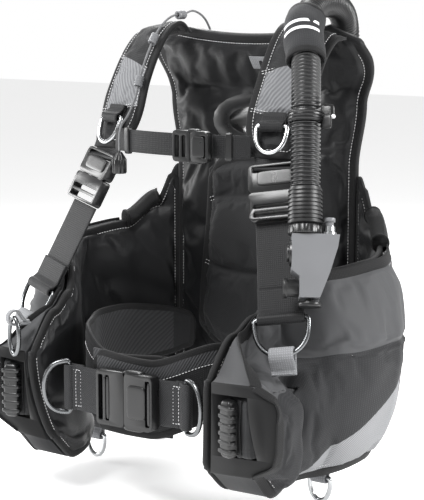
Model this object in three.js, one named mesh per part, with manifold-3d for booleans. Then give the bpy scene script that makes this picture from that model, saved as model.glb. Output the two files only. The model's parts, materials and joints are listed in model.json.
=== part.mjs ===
// Buoyancy compensator vest, jacket type: a padded back on a hard tank plate, two air lobes that
// wrap the chest, weight pockets, shoulder straps, a waist belt and a corrugated inflator hose.
// Millimetres. +X is the wearer's left, -Y is the front, +Z is up. The origin is on the tank seat,
// the flat rear face of the back plate at the height of the tank band.
import * as THREE from "three";
import { mergeVertices } from "three/addons/utils/BufferGeometryUtils.js";
import Module from "manifold-3d";

const wasm = await Module();
wasm.setup();
const vec = (x, y, z) => new THREE.Vector3(x, y, z);

// ---- driving dimensions ----
const half_width = 196; // middle of the lobes where they are widest
const chest_depth = 305; // from the tank seat to the front edge of the lobes
const collar_height = 296; // top of the back above the tank seat
const hem_drop = 172; // bottom of the lobes below the tank seat
const cell_thickness = 22; // an air cell, partly filled
const pad_thickness = 20; // back cushion
const strap_pad_thickness = 11;
const strap_pad_width = 70;
const webbing = 50; // wide webbing: shoulders, waist and tank band
const narrow_webbing = 25; // chest strap and tabs
const webbing_thickness = 2.6;
const plate_wall = 5;
const tank_radius = 92; // a 12 litre steel cylinder
const hose_radius = 15.5;
const cord_radius = 1.3;
const ring_wire = 2.6; // radius of the D-ring wire
const pouch_size = { width: 34, height: 66, length: 95 };
const gap = 0.5; // between pieces that only touch
const running = 0.9; // around pieces that slide or turn

// ---- solids ----
const solid_of = (geometry) => {
  const g = geometry.index ? geometry.toNonIndexed() : geometry.clone();
  g.deleteAttribute("normal");
  g.deleteAttribute("uv");
  const m = mergeVertices(g, 1e-3);
  return new wasm.Manifold(
    new wasm.Mesh({
      numProp: 3,
      vertProperties: new Float32Array(m.attributes.position.array),
      triVerts: new Uint32Array(m.index.array),
    }),
  );
};
const geometry_of = (solid) => {
  const m = solid.getMesh();
  const positions = new Float32Array(m.numVert * 3);
  for (let i = 0; i < m.numVert; i++) {
    positions.set(m.vertProperties.subarray(i * m.numProp, i * m.numProp + 3), i * 3);
  }
  return new THREE.BufferGeometry()
    .setAttribute("position", new THREE.BufferAttribute(positions, 3))
    .setIndex(new THREE.BufferAttribute(new Uint32Array(m.triVerts), 1));
};
const cut = (geometry, ...tools) =>
  geometry_of(tools.reduce((s, t) => s.subtract(solid_of(t)), solid_of(geometry)));
const join = (geometry, ...more) =>
  geometry_of(more.reduce((s, t) => s.add(solid_of(t)), solid_of(geometry)));

// ---- finishes ----
const finish = (color, roughness, metalness = 0) =>
  new THREE.MeshStandardMaterial({ color, roughness, metalness });
const nylon = finish(0x26272a, 0.8);
const woven = finish(0x3a3b3e, 0.9);
const strapping = finish(0x1b1b1d, 0.85);
const grey_strapping = finish(0x8a8c90, 0.9);
const plastic = finish(0x202123, 0.45);
const grey_plastic = finish(0x8d8f93, 0.4);
const rubber = finish(0x18181a, 0.6);
const steel = finish(0xd8dadd, 0.25, 1);
const dark_steel = finish(0x55585c, 0.35, 1);

const vest = new THREE.Group();
const add = (name, geometry, material, frame = null) => {
  const mesh = new THREE.Mesh(geometry, material);
  mesh.name = name;
  if (frame) frame.decompose(mesh.position, mesh.quaternion, mesh.scale);
  vest.add(mesh);
  return mesh;
};
const mirrored = (side, p) => vec(side * p.x, p.y, p.z);
const mirrored_across = (side, p) => vec(p.x, side * p.y, p.z); // keeps +X to the wearer's left
const sides = [
  ["left", 1],
  ["right", -1],
];

// Unit normal of the surface place(u, v).
function normal_of(place, u, v) {
  const step = 1e-3;
  const du = place(Math.min(1, u + step), v).sub(place(Math.max(0, u - step), v));
  const dv = place(u, Math.min(1, v + step)).sub(place(u, Math.max(0, v - step)));
  return du.cross(dv).normalize();
}

// A closed body between two surfaces one(u, v) and other(u, v), u and v from 0 to 1.
function between(columns, rows, one, other) {
  const positions = [];
  for (const face of [one, other]) {
    for (let i = 0; i < columns; i++) {
      for (let j = 0; j < rows; j++) {
        positions.push(...face(i / (columns - 1), j / (rows - 1)).toArray());
      }
    }
  }
  const at = (side, i, j) => side * columns * rows + i * rows + j;
  const index = [];
  const quad = (a, b, c, d) => index.push(a, b, c, a, c, d);
  for (let i = 0; i < columns - 1; i++) {
    for (let j = 0; j < rows - 1; j++) {
      quad(at(0, i, j), at(0, i + 1, j), at(0, i + 1, j + 1), at(0, i, j + 1));
      quad(at(1, i, j), at(1, i, j + 1), at(1, i + 1, j + 1), at(1, i + 1, j));
    }
    quad(at(1, i, 0), at(1, i + 1, 0), at(0, i + 1, 0), at(0, i, 0));
    quad(at(0, i, rows - 1), at(0, i + 1, rows - 1), at(1, i + 1, rows - 1), at(1, i, rows - 1));
  }
  for (let j = 0; j < rows - 1; j++) {
    quad(at(1, 0, j + 1), at(1, 0, j), at(0, 0, j), at(0, 0, j + 1));
    quad(at(0, columns - 1, j + 1), at(0, columns - 1, j), at(1, columns - 1, j), at(1, columns - 1, j + 1));
  }
  const g = new THREE.BufferGeometry();
  g.setAttribute("position", new THREE.Float32BufferAttribute(positions, 3));
  g.setIndex(index);
  return outwards(g);
}

// A closed shell of even thickness about the surface place(u, v).
function quilt(columns, rows, place, thickness) {
  const face = (side) => (u, v) =>
    place(u, v).addScaledVector(normal_of(place, u, v), (side * thickness) / 2);
  return between(columns, rows, face(1), face(-1));
}

// The same surface with its faces pointing out.
function outwards(g) {
  if (solid_of(g).volume() > 0) return g;
  const index = g.index.array;
  for (let i = 0; i < index.length; i += 3) {
    [index[i + 1], index[i + 2]] = [index[i + 2], index[i + 1]];
  }
  return g;
}

// A value read from [position, value] pairs, eased between them.
function graded(pairs, t) {
  const last = pairs.length - 1;
  if (t <= pairs[0][0]) return pairs[0][1];
  for (let i = 0; i < last; i++) {
    const [a, from] = pairs[i];
    const [b, to] = pairs[i + 1];
    if (t <= b) return from + (to - from) * THREE.MathUtils.smoothstep(t, a, b);
  }
  return pairs[last][1];
}

// A round rod of `sides` sides along a curve, with steps about two diameters long.
function rod(curve, radius, sides = 10, steps = Math.ceil(curve.getLength() / (2 * radius))) {
  const section = new THREE.Shape();
  for (let k = 0; k < sides; k++) {
    const a = (2 * Math.PI * k) / sides;
    const go = k ? "lineTo" : "moveTo";
    section[go](radius * Math.cos(a), radius * Math.sin(a));
  }
  section.closePath();
  return new THREE.ExtrudeGeometry(section, { steps, extrudePath: curve, bevelEnabled: false });
}

// A closed ring of wire round a flat outline in the XZ plane.
function wire_loop(outline, radius, sides = 8) {
  const n = outline.length;
  const positions = [];
  for (let i = 0; i < n; i++) {
    const before = outline[(i + n - 1) % n];
    const after = outline[(i + 1) % n];
    const t = new THREE.Vector2(after[0] - before[0], after[1] - before[1]).normalize();
    for (let k = 0; k < sides; k++) {
      const a = (2 * Math.PI * (k + 0.5)) / sides;
      const out = radius * Math.cos(a);
      positions.push(outline[i][0] + t.y * out, radius * Math.sin(a), outline[i][1] - t.x * out);
    }
  }
  const index = [];
  for (let i = 0; i < n; i++) {
    for (let k = 0; k < sides; k++) {
      const [a, b] = [i * sides + k, i * sides + ((k + 1) % sides)];
      const [c, d] = [((i + 1) % n) * sides + k, ((i + 1) % n) * sides + ((k + 1) % sides)];
      index.push(a, c, b, b, c, d);
    }
  }
  const g = new THREE.BufferGeometry();
  g.setAttribute("position", new THREE.Float32BufferAttribute(positions, 3));
  g.setIndex(index);
  return outwards(g);
}

// Outline of a D: a straight bar along X at z = 0 and a bow that hangs to z = -drop.
function d_outline(width, drop, bow_steps = 10) {
  const points = [[-width / 2, 0]];
  for (let k = 0; k <= bow_steps; k++) {
    const a = Math.PI - (Math.PI * k) / bow_steps;
    points.push([(width / 2) * Math.cos(a), -drop * 0.3 - drop * 0.7 * Math.sin(a)]);
  }
  points.push([width / 2, 0]);
  return points;
}

// The webbing loop that a ring's bar turns in, with a tail that is sewn down behind it.
function ring_tab(width, tail, slack = running) {
  const bore = ring_wire + slack;
  const outer = bore + webbing_thickness;
  const profile = new THREE.Shape();
  profile.moveTo(outer, 0);
  profile.lineTo(outer, tail);
  profile.lineTo(outer - 2 * webbing_thickness, tail);
  profile.lineTo(outer - 2 * webbing_thickness, outer);
  for (let a = 90; a < 350; a += 30) {
    const t = THREE.MathUtils.degToRad(a);
    profile.lineTo(outer * Math.cos(t), outer * Math.sin(t));
  }
  profile.closePath();
  const hole = new THREE.Path();
  for (let k = 0; k < 10; k++) {
    const a = (-2 * Math.PI * k) / 10;
    hole[k ? "lineTo" : "moveTo"](bore * Math.cos(a), bore * Math.sin(a));
  }
  profile.holes.push(hole);
  const g = new THREE.ExtrudeGeometry(profile, { depth: width, bevelEnabled: false });
  // profile x is towards the cloth, profile y is up; the bar lies along X
  g.translate(0, 0, -width / 2);
  g.applyMatrix4(new THREE.Matrix4().makeBasis(vec(0, 1, 0), vec(0, 0, 1), vec(1, 0, 0)));
  return g;
}

// A frame whose X runs across, whose Y points into the body and whose Z is up the piece.
const frame_at = (p, across, up) => {
  const z = up.clone().normalize();
  const x = across.clone().addScaledVector(z, -across.dot(z)).normalize();
  return new THREE.Matrix4().makeBasis(x, z.clone().cross(x), z).setPosition(p);
};
const upright = (x, y, z) => frame_at(vec(x, y, z), vec(1, 0, 0), vec(0, 0, 1));
const box_at = (w, d, h, x = 0, y = 0, z = 0) => new THREE.BoxGeometry(w, d, h).translate(x, y, z);
// A round bar along X, Y or Z.
function bar(radius, length, axis = "z", sides = 16) {
  const g = new THREE.CylinderGeometry(radius, radius, length, sides);
  if (axis === "z") g.rotateX(Math.PI / 2);
  if (axis === "x") g.rotateZ(Math.PI / 2);
  return g;
}
// A flat moulding in the XZ plane with round corners and slots, centred on its thickness.
function plate(width, height, thickness, corner, slots = []) {
  const outline = (w, h, r, x = 0, z = 0) => {
    const points = [];
    for (const [sx, sz, from] of [[1, 1, 0], [-1, 1, 90], [-1, -1, 180], [1, -1, 270]]) {
      for (const turn of [0, 45, 90]) {
        const a = THREE.MathUtils.degToRad(from + turn);
        points.push([x + sx * (w / 2 - r) + r * Math.cos(a), z + sz * (h / 2 - r) + r * Math.sin(a)]);
      }
    }
    return points.map(([px, pz]) => new THREE.Vector2(px, pz));
  };
  const shape = new THREE.Shape(outline(width, height, corner));
  for (const [w, h, x, z, r = 1.5] of slots) shape.holes.push(new THREE.Path(outline(w, h, r, x, z)));
  const g = new THREE.ExtrudeGeometry(shape, { depth: thickness, bevelEnabled: false });
  return g.translate(0, 0, -thickness / 2).rotateX(Math.PI / 2);
}
// A strip that follows a closed or open line of [x, y] points, height tall along Z.
function band(points, thickness, height, closed) {
  const n = points.length;
  const line = points.map(([x, y]) => new THREE.Vector2(x, y));
  const edge = (side) =>
    line.map((p, i) => {
      const before = line[closed ? (i + n - 1) % n : Math.max(0, i - 1)];
      const after = line[closed ? (i + 1) % n : Math.min(n - 1, i + 1)];
      const t = after.clone().sub(before).normalize();
      return new THREE.Vector2(p.x + (t.y * side * thickness) / 2, p.y - (t.x * side * thickness) / 2);
    });
  const shape = closed
    ? new THREE.Shape(edge(1))
    : new THREE.Shape([...edge(1), ...edge(-1).reverse()]);
  if (closed) shape.holes.push(new THREE.Path(edge(-1)));
  const g = new THREE.ExtrudeGeometry(shape, { depth: height, bevelEnabled: false });
  return g.translate(0, 0, -height / 2);
}
const smooth_line = (points) =>
  new THREE.CatmullRomCurve3(points.map((p) => vec(...p)), false, "catmullrom", 0.5);

// ---- the back: air cell, cushion and tank plate ----
const plate_rear = 0; // the tank rests on this face
const plate_front = plate_rear - plate_wall;
const strap_run = plate_front - gap - webbing_thickness; // front of the band where it crosses the plate
const cell_middle = strap_run - gap - cell_thickness / 2;
const back_half_width = 124;
const lean_start = 221; // height at which the back starts to curve over the shoulders
const collar_reach = 40; // how far it has come forward at the collar
const handle_height = 186;
const handle_hole = { width: 88, height: 44 };

const back_line = (z) => cell_middle - collar_reach * THREE.MathUtils.smoothstep(z, lean_start, collar_height + 4);
const back_width = [
  [-hem_drop + 12, back_half_width - 26],
  [-hem_drop + 36, back_half_width],
  [130, back_half_width],
  [200, back_half_width + 10],
  [250, back_half_width + 24],
  [268, back_half_width + 20],
  [collar_height - 6, back_half_width - 18],
];
const back_surface = (u, v) => {
  const s = 2 * u - 1;
  const level = THREE.MathUtils.lerp(-hem_drop + 12, collar_height - 9, v);
  const z = level + 12 * s * s * v - 8 * (1 - s * s) * (1 - v);
  return vec(s * graded(back_width, level), back_line(level), z);
};
const handle_slot = (depth) => {
  const g = bar(1, depth, "y", 20).scale(handle_hole.width / 2, 1, handle_hole.height / 2);
  return g.translate(0, cell_middle, handle_height);
};
add("back_cell", cut(quilt(11, 21, back_surface, cell_thickness), handle_slot(80)), nylon);

// A frame on the rear face of the back at x and height z, with its Y pointing out of the cloth.
const on_back = (x, z, proud) => {
  const u = (x / graded(back_width, z) + 1) / 2;
  const v = (z + hem_drop - 12) / (collar_height - 9 + hem_drop - 12);
  const n = normal_of(back_surface, u, v);
  if (n.y < 0) n.negate();
  const p = back_surface(u, v).addScaledVector(n, cell_thickness / 2 + gap + proud);
  return frame_at(p, vec(1, 0, 0), n.clone().cross(vec(-1, 0, 0)));
};
const pad_middle = cell_middle - cell_thickness / 2 - gap - pad_thickness / 2;
const pad_half_width = 72;
const pad_top = handle_height - handle_hole.height / 2 - 16;
const pad_bottom = -96;
const pad_surface = (u, v) => {
  const s = 2 * u - 1;
  const round = Math.sqrt(Math.max(0, 1 - s * s * 0.75));
  const top = pad_top - 42 * (1 - round);
  const bottom = pad_bottom + 70 * (1 - round);
  const waist = 1 + 0.1 * Math.cos(Math.PI * v);
  return vec(s * pad_half_width * waist, pad_middle, THREE.MathUtils.lerp(bottom, top, v));
};
add("back_pad", quilt(11, 9, pad_surface, pad_thickness), woven);

// The moulded plate carries the tank; its upper end is a handle that shows through the back.
const plate_size = { width: 150, height: 330 };
const plate_middle = 56;
const strap_slot = { x: 64, width: 17 };
const tank_strap_height = -14;
const handle_depth = cell_thickness + 12; // the handle ring reaches through to the front of the cell
const back_plate = plate(plate_size.width, plate_size.height, plate_wall, 34, [
  [strap_slot.width, webbing + 4, -strap_slot.x, tank_strap_height - plate_middle],
  [strap_slot.width, webbing + 4, strap_slot.x, tank_strap_height - plate_middle],
  [handle_hole.width - 14, handle_hole.height - 12, 0, handle_height - plate_middle, 14],
  [44, 20, 0, 70, 9],
]);
back_plate.translate(0, plate_rear - plate_wall / 2, plate_middle);
const handle_ring = (wide, tall, from, to) =>
  bar(1, from - to, "y", 24).scale(wide / 2, 1, tall / 2).translate(0, (from + to) / 2, handle_height);
const collar_wall = 4;
const lip_front = plate_front - handle_depth;
const tube_out = [handle_hole.width - 2 * running, handle_hole.height - 2 * running];
const tube_in = [tube_out[0] - 2 * collar_wall, tube_out[1] - 2 * collar_wall];
const lip_from = cell_middle - cell_thickness / 2 - gap;
add(
  "back_plate",
  cut(
    join(
      back_plate,
      handle_ring(tube_out[0], tube_out[1], plate_front + 1, lip_front),
      handle_ring(handle_hole.width + 36, handle_hole.height + 22, lip_from, lip_front),
    ),
    handle_ring(tube_in[0], tube_in[1], plate_rear + 5, lip_front - 5),
  ),
  plastic,
);

// The band runs in front of the plate, through its two slots and round the cylinder.
const band_radius = tank_radius + webbing_thickness;
const tank_axis = tank_radius; // the cylinder touches the plate, so its axis lies this far behind
const band_line = [];
for (let a = -40; a <= 220; a += 13) {
  const t = THREE.MathUtils.degToRad(a);
  band_line.push([band_radius * Math.cos(t), tank_axis + band_radius * Math.sin(t)]);
}
const band_front = strap_run + webbing_thickness / 2;
band_line.push([-strap_slot.x - 1, 3], [-strap_slot.x + 2, -2], [-strap_slot.x + 7, band_front]);
band_line.push([strap_slot.x - 7, band_front], [strap_slot.x - 2, -2], [strap_slot.x + 1, 3]);
const strap_frame = upright(0, 0, tank_strap_height);
add("tank_strap", band(band_line, webbing_thickness, webbing, true), strapping, strap_frame);

const buckle_seat = tank_axis + band_radius + webbing_thickness / 2 + gap;
const lever_pin = { x: 30, y: buckle_seat + 9, radius: 2.5 };
const cam_base = join(
  box_at(64, 4, webbing + 12, 0, buckle_seat + 2, 0),
  box_at(14, 16, 4, lever_pin.x, buckle_seat + 8, webbing / 2 + 4),
  box_at(14, 16, 4, lever_pin.x, buckle_seat + 8, -webbing / 2 - 4),
);
const pin_hole = bar(lever_pin.radius + 0.5, webbing + 40).translate(lever_pin.x, lever_pin.y, 0);
add("cam_buckle", cut(cam_base, pin_hole), plastic, strap_frame);
const cam_lever = join(
  bar(lever_pin.radius, webbing + 12),
  bar(4, webbing),
  box_at(60, 4, webbing - 2, -31, 1, 0),
);
add("cam_lever", cam_lever, plastic, upright(lever_pin.x, lever_pin.y, tank_strap_height));

// ---- the lobes and their pockets ----
const lobe_thickness = 14;
const lobe_line = smooth_line([
  [back_half_width + 3.1, cell_middle, 0],
  [152, -31, 0],
  [half_width - 18, -60, 0],
  [half_width, -115, 0],
  [half_width - 24, -174, 0],
  [132, -222, 0],
  [121, -chest_depth + 42, 0],
  [118, -chest_depth - 5, 0],
]);
const lobe_top = [
  [0, 128],
  [0.14, 84],
  [0.29, 58],
  [0.43, 52],
  [0.57, 46],
  [0.66, 32],
  [0.75, 2],
  [0.86, -14],
  [1, -55],
];
const lobe_bottom = [
  [0, -hem_drop + 24],
  [0.3, -hem_drop + 10],
  [0.6, -hem_drop - 2],
  [0.86, -hem_drop - 12],
  [1, -hem_drop + 17],
];
const tuck = 0.12; // the lobes close in towards the hem by this share
const lobe_surface = (u, v) => {
  const p = lobe_line.getPoint(u);
  const close = 1 - tuck * (1 - v) * (1 - v) * THREE.MathUtils.smoothstep(u, 0, 0.35);
  const z = THREE.MathUtils.lerp(graded(lobe_bottom, u), graded(lobe_top, u), v);
  return vec(p.x * close, -150 + (p.y + 150) * close, z);
};
const lobe_steps = 21; // facets of a lobe along its length; the pocket shares their edges
const pocket_steps = 15;
const pocket_from = 1 - pocket_steps / lobe_steps;
const pocket_depth = [[0.29, 8], [0.36, 26], [0.43, 32], [0.57, 46], [0.71, 62], [0.86, 74], [1, 76]];
const pocket_way = [[0.29, 37], [0.43, 3], [0.57, -26], [0.71, -18], [0.86, 2], [1, 8]];
// How full the pocket is from hem to top, at four places from the flank to its open front.
const fullness = [
  [0.57, [[0, 0.45], [0.12, 0.85], [0.3, 1], [0.62, 1], [0.85, 0.6], [1, 0.12]]],
  [0.68, [[0, 0.5], [0.12, 0.9], [0.3, 1], [0.52, 0.97], [0.61, 0.6], [0.69, 0.12], [0.75, 0.05], [1, 0.04]]],
  [0.86, [[0, 0.6], [0.12, 0.95], [0.3, 1], [0.64, 1], [0.69, 0.85], [0.75, 0.15], [0.82, 0.05], [1, 0.04]]],
  [1, [[0, 0.6], [0.12, 0.95], [0.3, 1], [0.8, 1], [0.92, 0.9], [1, 0.5]]],
];
const pocket_inner = (w, v) => {
  const u = THREE.MathUtils.lerp(pocket_from, 1, w);
  const n = normal_of(lobe_surface, u, v);
  return lobe_surface(u, v).addScaledVector(n, -lobe_thickness / 2 - gap);
};
const pocket_outer = (w, v) => {
  const u = THREE.MathUtils.lerp(pocket_from, 1, w);
  const a = THREE.MathUtils.degToRad(graded(pocket_way, u));
  const full = graded(fullness.map(([at, profile]) => [at, graded(profile, v)]), u);
  const reach = graded(pocket_depth, u) * full;
  return pocket_inner(w, v).add(vec(Math.cos(a) * reach, Math.sin(a) * reach, 0));
};
const pouch_front = vec(148, -300, -101);
const pouch_across = vec(0.9638, -0.2667, 0);
const up = vec(0, 0, 1);

const hem_ring_at = vec(157, -148, -hem_drop - 17);
const hem_ring = { width: 18, drop: 26, tail: 26 };
for (const [side_name, side] of sides) {
  const place = (u, v) => mirrored(side, lobe_surface(u, v));
  const hem_frame = frame_at(mirrored(side, hem_ring_at), vec(1, 0, 0), up);
  const hem_tab = ring_tab(hem_ring.width, hem_ring.tail).applyMatrix4(hem_frame);
  add("lobe_" + side_name, join(quilt(lobe_steps + 1, 8, place, lobe_thickness), hem_tab), nylon);
  const hem_bow = wire_loop(d_outline(hem_ring.width + 8, hem_ring.drop), ring_wire);
  add("hem_ring_" + side_name, hem_bow, steel, hem_frame);

  const pouch_frame = frame_at(mirrored(side, pouch_front), mirrored_across(side, pouch_across), up);
  const depth = pouch_size.length;
  const cavity = box_at(pouch_size.width + 2 * running, depth + running + 40, pouch_size.height + 2 * running);
  cavity.translate(0, (depth + running - 40) / 2, 0).applyMatrix4(pouch_frame);
  const shell = between(
    pocket_steps + 1,
    8,
    (w, v) => mirrored(side, pocket_outer(w, v)),
    (w, v) => mirrored(side, pocket_inner(w, v)),
  );
  add("pocket_" + side_name, cut(shell, cavity), woven);
}

// ---- shoulders ----
const yoke_points = [
  [104, -73, 287],
  [104, -92, 291],
  [105, -118, 271],
  [106, -145, 229],
  [105.5, -162, 190],
  [113.5, -173.5, 160],
];
const yoke_line = smooth_line(yoke_points);
const yoke_taper = [[0, strap_pad_width], [0.7, strap_pad_width], [1, webbing + 6]];
const yoke_surface = (u, v) => {
  const across = vec(1, 0.02 + 0.3 * v * v, -0.05 - 0.3 * Math.sin(Math.PI * Math.min(1, v * 1.2)));
  return yoke_line.getPoint(v).addScaledVector(across.normalize(), (u - 0.5) * graded(yoke_taper, v));
};
const strap_start = vec(...yoke_points.at(-1));
const ring_bar = vec(162, -237, 3); // bar of the ring that joins the shoulder strap to the lobe
const strap_fall = ring_bar.clone().sub(strap_start).normalize();
const strap_across = vec(Math.cos(0.32), Math.sin(0.32), 0); // the straps face a little outwards
const along_strap = (s) => strap_start.clone().addScaledVector(strap_fall, s);
const buckle_size = { width: 60, height: 31, thickness: 11 };
const strap_length = ring_bar.distanceTo(strap_start);
const clip_at = 21.6; // middle of the upper half of the shoulder buckle, down from the yoke
const slot_height = 6;

// The two halves of a side release buckle. The prongs of the clip go into the socket.
function buckle_socket(width, height, thickness) {
  const body = plate(width, height, thickness, 5, [[width - 10, slot_height, 0, height / 2 - 6]]);
  const mouth = box_at(width - 12, thickness - 5, 24, 0, 0, -height / 2);
  return cut(body, mouth);
}
function buckle_clip(width, height, thickness) {
  const body = plate(width, height, thickness, 4, [
    [width - 10, slot_height, 0, -height / 2 + 6],
    [width - 10, slot_height - 1, 0, -height / 2 + 15],
  ]);
  const reach = height / 2;
  const prong = (x, w) => box_at(w, thickness - 5 - 2 * running, reach + 7, x, 0, reach / 2 + 6);
  const half = (width - 12) / 2 - running - 3;
  return join(body, prong(-half, 6), prong(half, 6), prong(0, 8));
}
const ring_offset = ring_wire + running + webbing_thickness;

for (const [side_name, side] of sides) {
  const place = (u, v) => mirrored(side, yoke_surface(u, v));
  add("shoulder_yoke_" + side_name, quilt(5, 13, place, strap_pad_thickness), woven);

  const across = mirrored_across(side, strap_across);
  const rise = mirrored(side, strap_fall).negate();
  const frame = (s) => frame_at(mirrored(side, along_strap(s)), across, rise);
  const { width, height, thickness } = buckle_size;
  add("shoulder_socket_" + side_name, buckle_socket(width, height, thickness), plastic, frame(clip_at));
  add("shoulder_clip_" + side_name, buckle_clip(width, height, thickness), plastic, frame(clip_at + height + gap));
  // the webbing comes up from the ring and ends round the bar of the clip
  const tail = strap_length - clip_at - height * 1.5 - gap - running;
  add("shoulder_webbing_" + side_name, ring_tab(webbing, tail), strapping, frame(strap_length));
  const bow = wire_loop(d_outline(webbing + 8, 40), ring_wire);
  add("strap_ring_" + side_name, bow, dark_steel, frame(strap_length));
}

// ---- waist ----
const waist_thickness = 5;
const waist_front = -287;
const waist_points = (inset) => [
  [84, -50, 0],
  [110 - inset, -62, 0],
  [142 - inset, -108, 0],
  [144 - inset, -162, 0],
  [114 - inset, -216, 0],
  [86 - inset, -256, 0],
  [46, waist_front + 6 + inset, 0],
  [0, waist_front + inset, 0],
  [-50, waist_front + 6 + inset, 0],
];
const waist_top = [[0, -50], [0.3, -34], [0.6, -30], [0.8, -50], [1, -46]];
const waist_bottom = [[0, -88], [0.3, -108], [0.6, -112], [0.8, -134], [1, -134]];
const waist_surface = (inset) => (u, v) => {
  const p = smooth_line(waist_points(inset)).getPoint(u);
  return vec(p.x, p.y, THREE.MathUtils.lerp(graded(waist_bottom, u), graded(waist_top, u), v));
};
const belt_height = -92;
const belt_front = waist_front - waist_thickness / 2 - gap - webbing_thickness / 2;
const belt_patch = { width: 88, height: webbing + 8, thickness: 6 }; // the belt lies on it
const patch_face = belt_front + webbing_thickness / 2 + gap;
const patch = box_at(belt_patch.width, belt_patch.thickness, belt_patch.height);
patch.translate(0, patch_face + belt_patch.thickness / 2, belt_height);
add("cummerbund_left", join(quilt(19, 3, waist_surface(-0.8), waist_thickness), patch), woven);
const right_waist = waist_surface(waist_thickness + 1.7);
add("cummerbund_right", quilt(19, 3, (u, v) => mirrored(-1, right_waist(u, v)), waist_thickness), woven);

const waist_buckle = { x: 9, width: 60, height: 37, thickness: 13 };

const belt_flat = 36; // behind the buckle the belt is flat, and past it it curves back
const belt_curve = 0.003;
const belt_at = (x) => belt_front + belt_curve * Math.max(0, Math.abs(x) - belt_flat) ** 2;
const belt_run = (from, to) => {
  const steps = Math.ceil(Math.abs(to - from) / 12);
  const stations = Array.from({ length: steps + 1 }, (_, k) => THREE.MathUtils.lerp(from, to, k / steps));
  return stations.map((x) => [x, belt_at(x)]);
};
const { width: waist_width, height: waist_reach, thickness: waist_deep } = waist_buckle;
const buckle_middle = belt_at(0) - (webbing_thickness + waist_deep) / 2 - gap;
const socket_x = waist_buckle.x + (waist_reach + gap) / 2;
const clip_x = waist_buckle.x - (waist_reach + gap) / 2;
const buckle_frame = (x) => frame_at(vec(x, buckle_middle, belt_height), vec(0, 0, -1), vec(1, 0, 0));
add("waist_socket", buckle_socket(waist_width, waist_reach, waist_deep), plastic, buckle_frame(socket_x));
add("waist_clip", buckle_clip(waist_width, waist_reach, waist_deep), plastic, buckle_frame(clip_x));

const belt_ring_x = 79;
const belt_ring_turn = { left: 22, right: 40 }; // degrees that each ring stands out from the waist
const belt_frame = upright(0, 0, belt_height);
for (const [side_name, side] of sides) {
  const under = 12; // the webbing runs in behind the buckle
  const inner = (side > 0 ? socket_x : -clip_x) + waist_reach / 2 - under;
  const strip = band(belt_run(side * inner, side * (belt_ring_x - 10)), webbing_thickness, webbing, false);
  const bar_depth = belt_at(belt_ring_x) - ring_offset + webbing_thickness;
  const bar_place = vec(side * belt_ring_x, bar_depth, 0);
  const tab = ring_tab(webbing, 16).applyMatrix4(frame_at(bar_place, vec(0, 0, side), vec(-side, 0, 0)));
  add("belt_" + side_name, join(strip, tab), strapping, belt_frame);

  const a = THREE.MathUtils.degToRad(belt_ring_turn[side_name]);
  const inwards = vec(-side * Math.cos(a), Math.sin(a), 0);
  bar_place.z = belt_height;
  const ring = wire_loop(d_outline(webbing + 7, 28), ring_wire);
  add("belt_ring_" + side_name, ring, plastic, frame_at(bar_place, vec(0, 0, side), inwards));
}

// ---- chest ----
const chest_height = 172;
const chest_buckle = { x: 31, width: 34, height: 23, thickness: 9 };
const chest_front = -205;
const chest_curve = 0.0021;
const chest_at = (x) => chest_front + chest_curve * x * x;
const chest_run = (from, to) => {
  const steps = Math.ceil(Math.abs(to - from) / 14);
  const stations = Array.from({ length: steps + 1 }, (_, k) => THREE.MathUtils.lerp(from, to, k / steps));
  return stations.map((x) => [x, chest_at(x)]);
};
const chest_reach = 89; // the strap is sewn to the front of each shoulder strap here
const chest_buckle_middle = chest_at(0) - (webbing_thickness + chest_buckle.thickness) / 2 - gap;
const chest_frame = (x) =>
  frame_at(vec(x, chest_buckle_middle, chest_height), vec(0, 0, -1), vec(1, 0, 0));
const { width: chest_width, height: chest_half, thickness: chest_deep } = chest_buckle;
const chest_socket_x = chest_buckle.x + (chest_half + gap) / 2;
const chest_clip_x = chest_buckle.x - (chest_half + gap) / 2;
add("chest_socket", buckle_socket(chest_width, chest_half, chest_deep), plastic, chest_frame(chest_socket_x));
add("chest_clip", buckle_clip(chest_width, chest_half, chest_deep), plastic, chest_frame(chest_clip_x));
for (const [side_name, side] of sides) {
  const inner = (side > 0 ? chest_socket_x : -chest_clip_x) + chest_half / 2 - 8;
  const strip = band(chest_run(side * inner, side * chest_reach), webbing_thickness, narrow_webbing, false);
  add("chest_strap_" + side_name, strip, strapping, upright(0, 0, chest_height));
}

// ---- shoulder rings and the webbing that ties the strap rings to the pockets ----
const shoulder_ring = { at: 0.8, width: 26, drop: 30 };
const yoke_frame = (side, u, v, proud) => {
  const place = (a, b) => mirrored(side, yoke_surface(a, b));
  const n = normal_of(place, u, v).multiplyScalar(-side);
  const across = place(1, v).sub(place(0, v)).multiplyScalar(side);
  const rise = place(u, v - 0.02).sub(place(u, v + 0.02));
  return frame_at(place(u, v).addScaledVector(n, strap_pad_thickness / 2 + gap + proud), across, rise);
};
for (const [side_name, side] of sides) {
  const frame = yoke_frame(side, 0.5, shoulder_ring.at, ring_offset);
  add("ring_tab_" + side_name, ring_tab(shoulder_ring.width, 16), strapping, frame);
  const bow = wire_loop(d_outline(shoulder_ring.width + 8, shoulder_ring.drop), ring_wire);
  add("shoulder_ring_" + side_name, bow, steel, frame);
}

// The strap rings are tied to the pockets by short webbing that is sewn to the pocket's front.
const tie_width = 26;
const tie_slack = 4; // the bow is curved, so the loop round it is loose
for (const [side_name, side] of sides) {
  const rise = mirrored(side, strap_fall).negate();
  const low = mirrored(side, along_strap(strap_length + 39.8));
  const frame = frame_at(low, mirrored_across(side, strap_across).negate(), rise.negate());
  add("ring_tie_" + side_name, ring_tab(tie_width, 19, tie_slack), grey_strapping, frame);
}

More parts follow.
